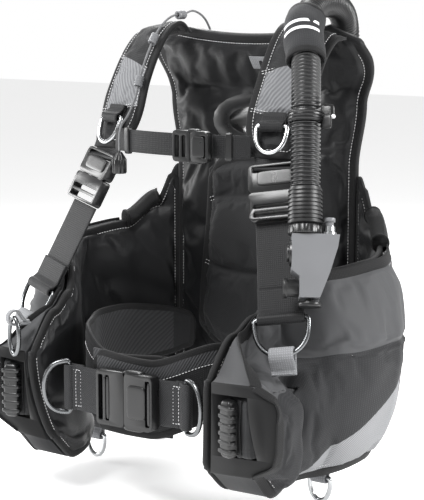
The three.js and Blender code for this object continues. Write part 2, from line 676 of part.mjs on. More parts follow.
// ---- weight pouches, which slide out of the front of the pockets ----
for (const [side_name, side] of sides) {
  const frame = frame_at(mirrored(side, pouch_front), mirrored_across(side, pouch_across), up);
  const { width, height, length } = pouch_size;
  const body = box_at(width, length, height, 0, length / 2, 0);
  const tongue = box_at(15, 6, height - 10, 0, -2, 0);
  const ribs = Array.from({ length: 6 }, (_, k) => box_at(19, 10, 5, 0, -9.5, (k - 2.5) * 9));
  const grip = join(box_at(14, 12, height - 12, 0, -9, 0), ...ribs);
  add("weight_pouch_" + side_name, join(body, tongue, grip), plastic, frame);
}

// ---- corrugated hose and inflator ----
const hose_points = [
  [88, 12, 262],
  [88.5, 12, 288],
  [95, -8, 311],
  [100, -42, 322],
  [104, -82, 319],
  [115, -120, 301],
  [126, -139, 283],
  [138, -154, 264],
  [153, -177.5, 227],
  [159.6, -188.2, 193.5],
];
const hose_end = vec(179, -219, 89); // where the hose meets the inflator
const hose_bend = vec(...hose_points.at(-1)); // the clip holds the hose just above this point
const upper_curve = smooth_line(hose_points);
const hose_down = hose_end.clone().sub(hose_bend).normalize();
const hose_sides = 12;
add("hose_upper", rod(upper_curve, hose_radius, hose_sides, 24), rubber);

const forward = vec(0, -1, 0).addScaledVector(hose_down, hose_down.y).normalize();
const hose_pivot = hose_bend.clone().addScaledVector(forward, hose_radius + 1);
const lower_start = hose_bend.clone().addScaledVector(hose_down, 1.2);
const lower_curve = new THREE.LineCurve3(lower_start, hose_end);
add("hose_lower", rod(lower_curve, hose_radius, hose_sides, 5), rubber);

// The elbow joins the hose to the back of the air cell.
const elbow_base = on_back(88, 230, 2.5);
const elbow_out = (d, rise) => vec(0, d, rise).applyMatrix4(elbow_base).toArray();
const elbow_curve = new THREE.CubicBezierCurve3(
  vec(...elbow_out(0, 0)),
  vec(...elbow_out(16, 0)),
  vec(88, 12, 246),
  vec(88, 12, 262 - gap),
);
const elbow_flange = bar(21, 5, "y", 20).applyMatrix4(elbow_base);
add("hose_elbow", join(rod(elbow_curve, hose_radius - 2, 12, 8), elbow_flange), plastic);

// A clip holds the hose to the shoulder strap.
const clip_center = upper_curve.getPoint(0.955);
const clip_way = upper_curve.getTangent(0.955);
const clip_side = vec(1, 0.35, 0);
const clip_frame_matrix = frame_at(clip_center, clip_side, clip_way.clone().negate());
const clip_ring = cut(bar(hose_radius + 3.2, 12, "z", 20), bar(hose_radius + 0.8, 20, "z", 20));
const clip_wing = box_at(9, 4, 22, hose_radius + 6, 0, 0);
add("hose_clip", join(clip_ring, clip_wing), plastic, clip_frame_matrix);

// A padded sleeve on the shoulder covers the hose.
const cover_at = 0.6;
const cover_length = 40;
const cover_center = upper_curve.getPoint(cover_at);
const cover_way = upper_curve.getTangent(cover_at);
const cover_inner = hose_radius + 2.2;
const cover_wall = 3;
const cover_leg = 11;
const cover_shape = new THREE.Shape();
cover_shape.absarc(0, 0, cover_inner + cover_wall, 0, Math.PI, false);
cover_shape.lineTo(-cover_inner - cover_wall, -cover_leg);
cover_shape.lineTo(-cover_inner, -cover_leg);
cover_shape.absarc(0, 0, cover_inner, Math.PI, 0, true);
cover_shape.lineTo(cover_inner, -cover_leg);
cover_shape.lineTo(cover_inner + cover_wall, -cover_leg);
cover_shape.closePath();
const cover = new THREE.ExtrudeGeometry(cover_shape, { depth: cover_length, bevelEnabled: false, curveSegments: 8 });
cover.translate(0, 0, -cover_length / 2);
const cover_out = vec(0.1, -0.55, 0.83);
const cover_y = cover_out.addScaledVector(cover_way, -cover_out.dot(cover_way)).normalize();
const cover_frame = new THREE.Matrix4()
  .makeBasis(cover_y.clone().cross(cover_way), cover_y, cover_way)
  .setPosition(cover_center);
add("hose_cover", cover, woven, cover_frame);

// The inflator, in a frame with X to its right, Y to its back and Z up the hose.
const inflator_frame = frame_at(hose_end, vec(Math.cos(0.61), Math.sin(0.61), 0), hose_down.clone().negate());
const inflator_depth = 28;
const profile = new THREE.Shape(
  [[-14, -gap], [18, -gap], [35, -1], [33, -14], [25, -40], [15, -66], [-6, -66], [-6, -44], [-14, -38]].map(
    ([x, z]) => new THREE.Vector2(x, z),
  ),
);
const inflator_block = new THREE.ExtrudeGeometry(profile, { depth: inflator_depth, bevelEnabled: false });
inflator_block.translate(0, 0, -inflator_depth / 2).rotateX(Math.PI / 2);
const nipple = { x: 25, radius: 4.5, height: 18 };
const nipple_post = join(
  bar(nipple.radius, nipple.height + 2).translate(nipple.x, 0, nipple.height / 2 - 2),
  bar(nipple.radius + 1.6, 4).translate(nipple.x, 0, nipple.height - 2),
);
const inflate = { z: -19, radius: 9, travel: 3, face: -19 };
const deflate = { x: 5, radius: 12, stem: 4, travel: 3 };
const inflate_bore = bar(inflate.radius + 0.5, 16, "x", 20).translate(-10, 0, inflate.z);
const deflate_bore = bar(deflate.stem + 0.5, 24, "z", 16).translate(deflate.x, 0, -62);
const body = cut(join(inflator_block, nipple_post), inflate_bore, deflate_bore);
add("inflator_body", body, grey_plastic, inflator_frame);
const inflate_length = 12;
const inflate_cap = bar(inflate.radius, inflate_length, "x", 20);
inflate_cap.translate(inflate.face + inflate_length / 2, 0, inflate.z);
add("inflate_button", inflate_cap, plastic, inflator_frame);
const deflate_cap = join(
  bar(deflate.radius, 5, "z", 20).translate(deflate.x, 0, -66 - deflate.travel - 3.2),
  bar(deflate.stem, 14, "z", 12).translate(deflate.x, 0, -63),
);
add("deflate_button", deflate_cap, plastic, inflator_frame);
const mouthpiece = cut(
  join(bar(9, 15, "x", 16).translate(-6 - gap - 7.5, 0, -55), bar(10.5, 4, "x", 16).translate(-20, 0, -55)),
  bar(6, 40, "x", 12).translate(-20, 0, -55),
);
add("mouthpiece", mouthpiece, rubber, inflator_frame);

// ---- dump valves, pull cords and knobs ----
const valve = (radius) =>
  join(bar(radius, 5, "y", 20), bar(radius - 6, 9, "y", 16).translate(0, 4, 0));
add("shoulder_dump_valve", valve(20), plastic, on_back(-88, 241, 3.2));
const rear_u = 0.12;
const rear_n = normal_of(lobe_surface, rear_u, 0.25).negate();
const rear_p = lobe_surface(rear_u, 0.25).addScaledVector(rear_n, lobe_thickness / 2 + gap + 3);
const rear_valve_frame = frame_at(mirrored(-1, rear_p), mirrored_across(-1, vec(rear_n.y, -rear_n.x, 0)), up);
add("rear_dump_valve", valve(17), plastic, rear_valve_frame);

const knob_height = 24;
const knob = () =>
  join(
    bar(8, knob_height - 7, "z", 12).translate(0, 0, -knob_height + (knob_height - 7) / 2),
    new THREE.CylinderGeometry(3, 8, 7.5, 12).rotateX(Math.PI / 2).translate(0, 0, -3.5),
  );
const shoulder_cord_points = [
  [-80, -12, 268],
  [-79, -17, 284],
  [-78, -34, 304],
  [-77, -58, 313],
  [-76.5, -80, 309],
  [-77.6, -95, 308.5],
  [-79, -111, 301.5],
  [-79.6, -127.5, 287.5],
  [-80, -143, 266],
  [-79.5, -157.5, 241.5],
  [-78.5, -168.5, 218],
  [-79, -181, 199],
  [-79.5, -193, 188],
  [-79.5, -197, 176],
  [-79.5, -197, 159],
];
const rear_cord_points = [
  [-156.4, -19, -104.9],
  [-156.4, -19, -150],
  [-156.4, -19, -196],
];
for (const [cord_name, points] of [["shoulder", shoulder_cord_points], ["rear", rear_cord_points]]) {
  const line = smooth_line(points);
  add(cord_name + "_dump_cord", rod(line, cord_radius, 8, Math.ceil(line.getLength() / 7)), strapping);
  const [x, y, z] = points.at(-1);
  add(cord_name + "_dump_knob", knob(), plastic, upright(x, y, z - gap));
}

// ---- accessory clip on the right pocket ----
const clip_place = vec(-138, -312.4, -39);
const oval = Array.from({ length: 16 }, (_, k) => {
  const a = (2 * Math.PI * k) / 16;
  return [10 * Math.cos(a), 21 * Math.sin(a)];
});
// the clip hangs square to its webbing, so it swings about the webbing's own fold
const clip_across = vec(0.9536, -0.3011, 0);
const into_pocket = vec(0.3011, 0.9536, 0);
add("accessory_clip", wire_loop(oval, 2.4), dark_steel, frame_at(clip_place, clip_across, vec(0, 0, 1)));
const hook_at = vec(clip_place.x, clip_place.y, clip_place.z + 21);
add("accessory_tab", ring_tab(7, 20, 4), grey_strapping, frame_at(hook_at, clip_across, into_pocket));

export default vest;
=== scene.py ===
# %% [markdown]
# # A diving vest, dressed in Blender
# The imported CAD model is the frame: hard parts, joints and true sizes. This script loads it and puts the
# looks around it: padded cloth, edge tape, webbing, thread, moulded plastic, wire rings and the ribbed hose.
# Everything is in metres in the frame's own axes: +X is the wearer's left, -Y the front, +Z up.

# %% Load the frame
import json
import math

import bmesh
import bpy
import numpy as np
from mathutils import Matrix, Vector


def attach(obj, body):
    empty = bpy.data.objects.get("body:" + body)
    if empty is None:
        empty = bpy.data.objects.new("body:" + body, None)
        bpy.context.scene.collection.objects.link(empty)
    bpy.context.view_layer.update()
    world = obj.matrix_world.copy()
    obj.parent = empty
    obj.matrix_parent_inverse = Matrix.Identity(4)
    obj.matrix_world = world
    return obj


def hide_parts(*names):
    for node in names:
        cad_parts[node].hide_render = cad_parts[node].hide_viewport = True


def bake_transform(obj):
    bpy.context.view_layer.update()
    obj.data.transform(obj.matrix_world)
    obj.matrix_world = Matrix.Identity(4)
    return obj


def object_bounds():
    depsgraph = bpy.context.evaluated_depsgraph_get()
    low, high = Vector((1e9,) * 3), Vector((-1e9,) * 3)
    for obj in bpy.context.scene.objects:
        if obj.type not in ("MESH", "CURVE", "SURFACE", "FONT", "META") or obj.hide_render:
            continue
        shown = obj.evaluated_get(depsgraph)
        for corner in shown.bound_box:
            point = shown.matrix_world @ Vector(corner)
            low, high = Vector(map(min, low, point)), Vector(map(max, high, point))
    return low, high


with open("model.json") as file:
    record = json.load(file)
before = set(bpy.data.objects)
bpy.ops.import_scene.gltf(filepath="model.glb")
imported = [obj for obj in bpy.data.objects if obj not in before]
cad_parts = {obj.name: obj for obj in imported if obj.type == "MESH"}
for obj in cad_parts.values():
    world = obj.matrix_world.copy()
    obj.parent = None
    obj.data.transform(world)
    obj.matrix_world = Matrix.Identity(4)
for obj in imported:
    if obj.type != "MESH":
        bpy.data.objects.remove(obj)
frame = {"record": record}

cad_box = [list(corner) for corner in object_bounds()]
SIDES = (("left", 1), ("right", -1))
print("CAD box", [[round(x, 3) for x in corner] for corner in cad_box])

# %% [markdown]
# ## Numbers along lines
# Every shape here is worked out with numpy on whole arrays. Four helpers carry most of it: an eased table of
# values, a smooth line through points, the normal of a surface, and even spacing along a line.

# %% Lines and surfaces
MM = 0.001


def unit(a):
    """Each vector divided by its own length."""
    return a / np.maximum(np.linalg.norm(a, axis=-1, keepdims=True), 1e-12)


def ease(t):
    """3t^2 - 2t^3, held at 0 and 1 outside."""
    t = np.clip(t, 0, 1)
    return t * t * (3 - 2 * t)


def graded(pairs, t):
    """A value between [position, value] pairs: the lower value plus the step times ease(share of the way)."""
    x, y = np.array(pairs, float).T
    i = np.clip(np.searchsorted(x, t, side="right") - 1, 0, len(x) - 2)
    return y[i] + (y[i + 1] - y[i]) * ease((t - x[i]) / (x[i + 1] - x[i]))


def along(points, t):
    """A Catmull-Rom line through points, t from 0 to 1: each span is a cubic whose end slopes are half the
    step between the points on either side."""
    p = np.asarray(points, float)
    ends = np.vstack([2 * p[0] - p[1], p, 2 * p[-1] - p[-2]])
    s = np.clip(np.asarray(t, float), 0, 1) * (len(p) - 1)
    i = np.minimum(s.astype(int), len(p) - 2)
    w = (s - i)[..., None]
    a, b, c, d = ends[i], ends[i + 1], ends[i + 2], ends[i + 3]
    start, stop = (c - a) / 2, (d - b) / 2
    return b + start * w + (3 * (c - b) - 2 * start - stop) * w**2 + (2 * (b - c) + start + stop) * w**3


def normal_of(place, u, v, step=1e-3):
    """Unit cross product of the surface's steps in u and in v."""
    du = place(np.minimum(1, u + step), v) - place(np.maximum(0, u - step), v)
    dv = place(u, np.minimum(1, v + step)) - place(u, np.maximum(0, v - step))
    return unit(np.cross(du, dv))


def lengths(line):
    """Distance along the line from its first point to each point."""
    return np.concatenate([[0], np.cumsum(np.linalg.norm(np.diff(line, axis=0), axis=1))])


def respaced(line, count, *more):
    """The line, and anything that goes with it, at evenly spaced distances."""
    s = lengths(line)
    t = np.linspace(0, s[-1], count)
    even = [np.stack([np.interp(t, s, a[:, k]) for k in range(a.shape[1])], 1) for a in (line, *more)]
    return even if more else even[0]


def tangents(line, closed=False):
    """Unit steps between each point's neighbours."""
    if closed:
        return unit(np.roll(line, -1, 0) - np.roll(line, 1, 0))
    return unit(np.gradient(line, axis=0))


def frame_at(place, across, up):
    """Axes of a piece as columns: Z along up, X as near to across as that allows, Y = Z x X; and its place."""
    z = unit(np.array(up, float))
    x = np.array(across, float)
    x = unit(x - z * (x @ z))
    return np.stack([x, np.cross(z, x), z], 1), np.array(place, float)


def placed(frame_of_piece, points):
    """Points of the piece's own frame, in the vest's frame."""
    axes, origin = frame_of_piece
    return points @ axes.T + origin


def upright_at(x, y, z, across=(1, 0, 0)):
    """A frame that stands upright at a place in millimetres."""
    return frame_at(np.array([x, y, z]) * MM, across, (0, 0, 1))


def mirrored(side, points):
    """The same points on the wearer's left (side 1) or right (side -1)."""
    return points * np.array([side, 1, 1])


# %% [markdown]
# ## From arrays to meshes
# A grid of points becomes faces by index arithmetic. A piece may be several grids, welded where they meet.
# The UV map is kept in metres, so that a weave has the same pitch on every piece.

# %% Mesh makers
WELD = 1e-6  # points closer than this become one
SHARP = 35  # degrees between faces, above which an edge of a turned piece stays sharp
STITCH_PITCH, STITCH, THREAD = 0.0036, 0.0026, 0.00042  # distance between stitches, length, radius


def grid_faces(rows, columns, wrap_rows=False, wrap_columns=False, start=0):
    """Corner numbers of every face of a grid: (i, j), (i+1, j), (i+1, j+1), (i, j+1)."""
    i = np.arange(rows if wrap_rows else rows - 1)
    j = np.arange(columns if wrap_columns else columns - 1)
    i, j = np.meshgrid(i, j, indexing="ij")
    next_i, next_j = (i + 1) % rows, (j + 1) % columns
    corners = [i * columns + j, next_i * columns + j, next_i * columns + next_j, i * columns + next_j]
    return np.stack(corners, -1).reshape(-1, 4) + start


def build(name, points, faces, uv, finish, body, crease=None, weld=0.0):
    """A mesh object from arrays, with its faces turned outwards, riding on a body."""
    data = bpy.data.meshes.new(name)
    data.from_pydata(points.tolist(), [], faces.tolist())
    layer = data.uv_layers.new(name="UVMap")
    layer.data.foreach_set("uv", uv[faces.ravel()].ravel())
    solid = bmesh.new()
    solid.from_mesh(data)
    if weld:
        bmesh.ops.remove_doubles(solid, verts=solid.verts, dist=weld)
    bmesh.ops.recalc_face_normals(solid, faces=solid.faces)
    if sum(f.calc_area() * f.normal.dot(f.calc_center_median()) for f in solid.faces) < 0:
        bmesh.ops.reverse_faces(solid, faces=solid.faces)
    solid.to_mesh(data)
    solid.free()
    data.polygons.foreach_set("use_smooth", np.ones(len(data.polygons), bool))
    if crease:
        data.set_sharp_from_angle(angle=math.radians(crease))
    piece = bpy.data.objects.new(name, data)
    bpy.context.scene.collection.objects.link(piece)
    for one in finish if isinstance(finish, list) else [finish]:
        data.materials.append(one)
    if body:
        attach(piece, body)
    return piece


def joined(grids):
    """Points, faces and UVs of several (points, uv, wrap_rows, wrap_columns) grids in one."""
    points, faces, uvs, start = [], [], [], 0
    for p, uv, wrap_rows, wrap_columns in grids:
        rows, columns = p.shape[:2]
        faces.append(grid_faces(rows, columns, wrap_rows, wrap_columns, start))
        points.append(p.reshape(-1, 3))
        uvs.append(uv.reshape(-1, 2))
        start += rows * columns
    return np.concatenate(points), np.concatenate(faces), np.concatenate(uvs)


def round_flat(width, thickness, count=20, squareness=0.35):
    """Outline of webbing cut across: (w/2 cos a, t/2 sin a), each raised to a small power to square it."""
    a = 2 * np.pi * (np.arange(count) + 0.5) / count
    c, s = np.cos(a), np.sin(a)
    x = np.sign(c) * np.abs(c) ** squareness * width / 2
    y = np.sign(s) * np.abs(s) ** squareness * thickness / 2
    return np.stack([x, y], 1)


def circle(radius, count=16):
    """(r cos a, r sin a)."""
    a = 2 * np.pi * np.arange(count) / count
    return np.stack([np.cos(a), np.sin(a)], 1) * radius


def sweep(name, line, side, up, outline, finish, body, closed=False, scale=None):
    """An outline carried along a line: point = line + x side + y up, with the ends drawn in to a point."""
    grow = np.ones(len(line)) if scale is None else scale
    x = outline[None, :, 0:1] * grow[:, None, None]
    y = outline[None, :, 1:2] * grow[:, None, None]
    grid = line[:, None] + x * side[:, None] + y * up[:, None]
    girth = lengths(np.vstack([outline, outline[:1]]))[:-1]
    run = lengths(line)
    if not closed:
        first, last = (np.broadcast_to(end.mean(0), grid[:1].shape) for end in (grid[0], grid[-1]))
        grid = np.concatenate([first, grid, last])
        run = np.concatenate([run[:1], run, run[-1:]])
    uv = np.stack(np.broadcast_arrays(girth[None], run[:, None]), -1)
    return build(name, *joined([(grid, uv, closed, True)]), finish, body, weld=WELD)


def tube(name, line, radius, finish, body, across=(1, 0, 0), sides=16, closed=False):
    """A round bar along a line; radius may change along it."""
    t = tangents(line, closed)
    side = unit(np.cross(t, np.broadcast_to(np.array(across, float), t.shape)))
    scale = np.broadcast_to(np.asarray(radius, float), len(line))
    return sweep(name, line, side, np.cross(t, side), circle(1, sides), finish, body, closed, scale)


def shell(name, place, thickness, rows, columns, size, finish, body, rim=0.012, pinch=0.3, flange=0.008):
    """A padded sheet: place(u, v) plus and minus half a thickness along the normal. A flange round the rim
    has `pinch` of the thickness, then it fills out along a quarter circle. size is its lengths along u and v."""
    u, v = np.meshgrid(np.linspace(0, 1, rows), np.linspace(0, 1, columns), indexing="ij")
    inset = np.minimum(np.minimum(u, 1 - u) * size[0], np.minimum(v, 1 - v) * size[1])
    rounded = np.sqrt(1 - (1 - np.clip((inset - flange) / rim, 0, 1)) ** 2)
    full = thickness(u, v) if callable(thickness) else thickness
    half = normal_of(place, u, v) * (full * (pinch + (1 - pinch) * rounded) / 2)[..., None]
    middle = place(u, v)
    flat = np.stack([u * size[0], v * size[1]], -1)
    return closed_pair(name, middle + half, middle - half, flat, finish, body)


def closed_pair(name, one, other, flat, finish, body):
    """Two grids of the same shape, joined all round their edges into one closed body."""
    rows, columns = one.shape[:2]
    ring = np.concatenate([one, other[:, ::-1]], 1)
    uv = np.concatenate([flat, flat[:, ::-1]], 1)
    faces = grid_faces(rows, 2 * columns, False, True)
    j = np.arange(columns - 1)
    cap = np.stack([j, j + 1, 2 * columns - 2 - j, 2 * columns - 1 - j], -1)
    faces = np.concatenate([faces, cap, cap[:, ::-1] + (rows - 1) * 2 * columns])
    return build(name, ring.reshape(-1, 3), faces, uv.reshape(-1, 2), finish, body)


def rim_path(size, inset, corner=0.012):
    """A closed [u, v] loop at one distance from all four edges, with its corners cut across."""
    a, b = inset / size[0], inset / size[1]
    c, d = (inset + corner) / size[0], (inset + corner) / size[1]
    turns = [(c, b), (1 - c, b), (1 - a, d), (1 - a, 1 - d), (1 - c, 1 - b), (c, 1 - b), (a, 1 - d), (a, d)]
    spans = [np.linspace(p, q, 24, endpoint=False) for p, q in zip(turns, turns[1:] + turns[:1])]
    return np.vstack(spans + [[turns[0]]])


def on_surface(place, path, lift=0.0, count=120):
    """A line of [u, v] points drawn on a surface: its points and the surface's normals there."""
    path = np.array(path, float)
    u, v = along(path, np.linspace(0, 1, 10 * len(path))).T
    n = normal_of(place, u, v)
    return respaced(place(u, v) + n * lift, count, n)


def tape(name, place, path, width, thickness, body, lift=0.0, finish=None, count=160, closed=False):
    """Edge tape along a [u, v] path: a rounded flat outline whose width lies in the surface."""
    line, n = on_surface(place, path, lift, count + closed)
    if closed:
        line, n = line[:-1], n[:-1]
    side = unit(np.cross(n, tangents(line, closed)))
    outline = round_flat(width, thickness, 16, 0.6)
    return sweep(name, line, side, unit(n), outline, finish or binding, body, closed)


def bind(name, place, size, corner, width, thickness, count, inset=0.0045):
    """Edge tape all round a padded sheet, over its flange."""
    path = rim_path(size, inset, corner)
    return tape(name, place, path, width, thickness, "vest", count=count, closed=True)


def seam(name, place, path, lift, body, gap=0.0):
    """Thread along a [u, v] path: one short rod for each stitch, on one line, or two when gap isn't 0."""
    line, n = on_surface(place, path, lift, 400)
    side = unit(np.cross(n, tangents(line)))
    rows = [line + side * gap / 2, line - side * gap / 2] if gap else [line]
    return stitches(name, [(row, n) for row in rows], body)


def stitches(name, rows, body):
    """Thread rods on (line, normals) rows: five rings of six points, thin at both ends, bent into the cloth."""
    t, a = np.meshgrid(np.linspace(-1, 1, 5), 2 * np.pi * np.arange(6) / 6, indexing="ij")
    fat = np.sqrt(np.maximum(0.05, 1 - t**2))
    points, faces = [], []
    template = grid_faces(5, 6, False, True)
    for line, n in rows:
        count = max(2, int(lengths(line)[-1] / STITCH_PITCH))
        line, n = respaced(line, count + 1, n)
        step = tangents(line)
        side = unit(np.cross(n, step))
        rod = (
            line[:, None, None]
            + step[:, None, None] * (t * STITCH / 2)[..., None]
            + side[:, None, None] * (np.cos(a) * fat * THREAD)[..., None]
            + n[:, None, None] * (np.sin(a) * fat * THREAD - t**2 * THREAD)[..., None]
        )
        start = sum(len(p) for p in points)
        points.append(rod.reshape(-1, 3))
        faces.append((template[None] + 30 * np.arange(count + 1)[:, None, None]).reshape(-1, 4) + start)
    points, faces = np.concatenate(points), np.concatenate(faces)
    return build(name, points, faces, np.zeros((len(points), 2)), thread, body)

# %% [markdown]
# ## Shader maths written as sums
# A material's pattern is arithmetic on coordinates. A small class wraps a socket, so that `1 - mask` or
# `u * 40` adds the Math node for it. One method makes every other kind of node.

# %% The finish class
class Value:
    """A number that varies over a surface: a socket, with the operators as Math nodes."""

    def __init__(self, paint, socket):
        self.paint, self.socket = paint, socket

    def math(self, operation, *others):
        values = {k: o for k, o in enumerate((self, *others))}
        return self.paint.node("Math", {"operation": operation}, values)

    def __add__(self, other):
        return self.math("ADD", other)

    def __sub__(self, other):
        return self.math("SUBTRACT", other)

    def __rsub__(self, other):
        return self.paint.node("Math", {"operation": "SUBTRACT"}, {0: other, 1: self})

    def __mul__(self, other):
        return self.math("MULTIPLY", other)

    def __gt__(self, other):
        return self.math("GREATER_THAN", other)

    def __lt__(self, other):
        return self.math("LESS_THAN", other)

    __radd__, __rmul__ = __add__, __mul__

    def wave(self, pitch):
        """0 to 1 and back once for each pitch: (1 + sin(2 pi x / pitch)) / 2."""
        return (self * (2 * math.pi / pitch)).math("SINE") * 0.5 + 0.5


class Paint:
    """A material: its shader's fixed numbers are set on the shader, and patterns come in as Values."""

    def __init__(self, name, color, roughness, **fixed):
        self.material = bpy.data.materials.new(name)
        self.material.use_nodes = True
        self.tree = self.material.node_tree
        self.shader = self.tree.nodes["Principled BSDF"]
        self.color = (*color, 1)
        self.shader.inputs["Base Color"].default_value = self.color
        self.shader.inputs["Roughness"].default_value = roughness
        for key, value in fixed.items():
            self.shader.inputs[key.replace("_", " ")].default_value = value

    def node(self, kind, settings=None, values=None, output=0):
        """Any node: its settings first, then its sockets' values or links. Returns the output as a Value."""
        made = self.tree.nodes.new("ShaderNode" + kind)
        for key, value in (settings or {}).items():
            setattr(made, key, value)
        for key, value in (values or {}).items():
            if isinstance(value, Value):
                self.tree.links.new(value.socket, made.inputs[key])
            else:
                made.inputs[key].default_value = value
        return Value(self, made.outputs[output])

    def place(self):
        """Object coordinates, as a vector."""
        return self.node("TexCoord", output="Object")

    def uv(self):
        """The two UV coordinates, in metres."""
        across = self.node("SeparateXYZ", {}, {0: self.node("UVMap", {"uv_map": "UVMap"})})
        return across, Value(self, across.socket.node.outputs[1])

    def noise(self, scale, detail=2.0, vector=None):
        """Cloudy noise, 0 to 1, about 1/scale metres across."""
        vector = vector or self.place()
        return self.node("TexNoise", {}, {"Vector": vector, "Scale": scale, "Detail": detail}, "Fac")

    def mix(self, share, one, other):
        """Colour one where share is 0, other where it is 1."""
        one, other = (color if isinstance(color, Value) else (*color, 1) for color in (one, other))
        return self.node("Mix", {"data_type": "RGBA"}, {0: share, 6: one, 7: other}, 2)

    def vary(self, amount, scale=30):
        """The base colour made up to `amount` lighter or darker in soft patches."""
        self.tint(self.noise(scale, 4), 1 - amount, 1 + amount)
        return self

    def tint(self, share, low, high):
        """Base colour from low to high times the plain colour, by share."""
        dark, light = ([c * k for c in self.color[:3]] for k in (low, high))
        self.to("Base Color", self.mix(share, dark, light))

    def to(self, socket, value):
        self.tree.links.new(value.socket, self.shader.inputs[socket])
        return self

    def bump(self, height, depth, strength=1.0):
        """A bumpy surface: height 0 to 1 stands for `depth` metres."""
        values = {"Height": height, "Distance": depth, "Strength": strength}
        return self.to("Normal", self.node("Bump", {}, values))


# %% [markdown]
# ## The finishes
# Black nylon is never flat black: its yarns catch light, so each cloth has a weave bump at its own pitch, a
# little sheen, and soft patches of lighter and darker tone from handling. Webbing has ribs across it,
# moulded plastic has a fine leathery grain, rubber is darker and duller, and wire rings are polished.

# %% Cloth, plastic and metal
def cloth(name, color, roughness, pitch, depth, sheen=0.06, patches=0.18, diagonal=False):
    """Woven cloth: two crossed waves of the yarn's pitch, on the UV map, and soft patches of tone."""
    paint = Paint(name, color, roughness, Sheen_Weight=sheen, Sheen_Roughness=0.4, Specular_IOR_Level=0.22)
    u, v = paint.uv()
    if diagonal:
        u, v = u + v, u - v
    weave = u.wave(pitch) * v.wave(pitch)
    grain = paint.noise(420, 3)
    paint.tint(paint.noise(14, 4) * 0.6 + weave * 0.4 * (0.5 + grain), 1 - patches, 1 + 1.6 * patches)
    paint.bump(weave * 0.7 + grain * 0.6, depth)
    return paint.material


def moulded(name, color, roughness, grain=0.00012):
    """Moulded plastic: fine grain in the surface, and slightly uneven gloss."""
    paint = Paint(name, color, roughness, Specular_IOR_Level=0.5)
    fine = paint.noise(1500, 2)
    paint.bump(fine, grain, 0.6).to("Roughness", paint.noise(60, 3) * 0.16 + (roughness - 0.08))
    return paint.vary(0.12, 25).material


def metal(name, color, roughness):
    """Wire: bright metal whose gloss is a little uneven, with fine drawn scratches."""
    paint = Paint(name, color, roughness, Metallic=1.0)
    paint.to("Roughness", paint.noise(220, 4) * 0.14 + (roughness - 0.05))
    return paint.bump(paint.noise(900, 2), 0.00004, 0.5).vary(0.08, 80).material


nylon = cloth("nylon_inner", (0.0105, 0.0107, 0.0115), 0.42, 0.0016, 0.00012, 0.04, 0.3)
cordura = cloth("coarse_nylon", (0.022, 0.0224, 0.024), 0.75, 0.0021, 0.0003, 0.06, 0.35)
binding = cloth("edge_tape", (0.009, 0.009, 0.0095), 0.7, 0.0018, 0.0003, 0.06, 0.3)
lining = cloth("lining", (0.006, 0.006, 0.0065), 0.6, 0.0015, 0.0001, 0.03)
cushion_cloth = cloth("cushion_cloth", (0.014, 0.0143, 0.0152), 0.65, 0.0024, 0.0003, 0.06, 0.3, True)
webbing = cloth("webbing", (0.0115, 0.0117, 0.0125), 0.55, 0.0022, 0.0004, 0.06, 0.4)
worn_webbing = cloth("worn_webbing", (0.026, 0.0265, 0.028), 0.6, 0.0026, 0.0005, 0.08, 0.55, True)
grey_webbing = cloth("grey_webbing", (0.21, 0.214, 0.223), 0.7, 0.0024, 0.0005, 0.1, 0.4)
thread = moulded("thread", (0.62, 0.62, 0.63), 0.6)
plastic = moulded("black_plastic", (0.008, 0.0081, 0.0085), 0.3)
grey_plastic = moulded("grey_plastic", (0.15, 0.153, 0.16), 0.32)
rubber = moulded("rubber", (0.012, 0.0121, 0.0125), 0.4)
steel = metal("bright_wire", (0.52, 0.53, 0.54), 0.2)
dark_steel = metal("dark_wire", (0.16, 0.165, 0.17), 0.24)
white_print = moulded("white_print", (0.75, 0.75, 0.76), 0.5)
print(len(bpy.data.materials), "materials")

# %% [markdown]
# ## Camera, light and floor
# The camera stands in front and a little to the wearer's left, as high as the chest, and far away, so that
# the vest shows little perspective. Three soft lamps and a pale world give the even light of a studio.

# %% Camera and studio
AZIMUTH, ELEVATION, DISTANCE, LENS = 35, 9, 1.9, 120.6
target = np.array([0, -0.130, 0.046])


def direction(azimuth, elevation):
    """Unit vector from the vest towards a camera at that azimuth and elevation, in degrees."""
    a, e = math.radians(azimuth), math.radians(elevation)
    return np.array([math.sin(a) * math.cos(e), -math.cos(a) * math.cos(e), math.sin(e)])


def aim(thing, place, at):
    """Turns a camera or lamp at `place` so that it looks at a point."""
    thing.location = place
    thing.rotation_euler = Vector(at - place).to_track_quat("-Z", "Y").to_euler()
    bpy.context.scene.collection.objects.link(thing)


camera = bpy.data.objects.new("camera", bpy.data.cameras.new("camera"))
camera.data.lens = LENS
aim(camera, target + DISTANCE * direction(AZIMUTH, ELEVATION), target)
bpy.context.scene.camera = camera


def lamp(name, azimuth, elevation, distance, size, power):
    """A square soft lamp that looks at the vest."""
    light = bpy.data.lights.new(name, "AREA")
    light.size, light.energy = size, power
    aim(bpy.data.objects.new(name, light), target + distance * direction(azimuth, elevation), target)


lamp("key", -15, 50, 1.6, 0.7, 34)
lamp("side", 105, 25, 1.6, 0.6, 26)
lamp("rim", 215, 45, 1.6, 0.9, 30)
lamp("low", -80, 10, 1.7, 0.6, 16)
world = bpy.data.worlds.new("studio")
world.use_nodes = True
sky = world.node_tree.nodes["Background"]
sky.inputs["Color"].default_value = (1, 1, 1, 1)
# the backdrop is white to look at, and half as bright as a lamp
rays = world.node_tree.nodes.new("ShaderNodeLightPath")
strength = world.node_tree.nodes.new("ShaderNodeMapRange")
strength.inputs["To Min"].default_value, strength.inputs["To Max"].default_value = 0.5, 1.0
world.node_tree.links.new(rays.outputs["Is Camera Ray"], strength.inputs["Value"])
world.node_tree.links.new(strength.outputs["Result"], sky.inputs["Strength"])
bpy.context.scene.world = world
bpy.context.scene.view_settings.view_transform = "Standard"

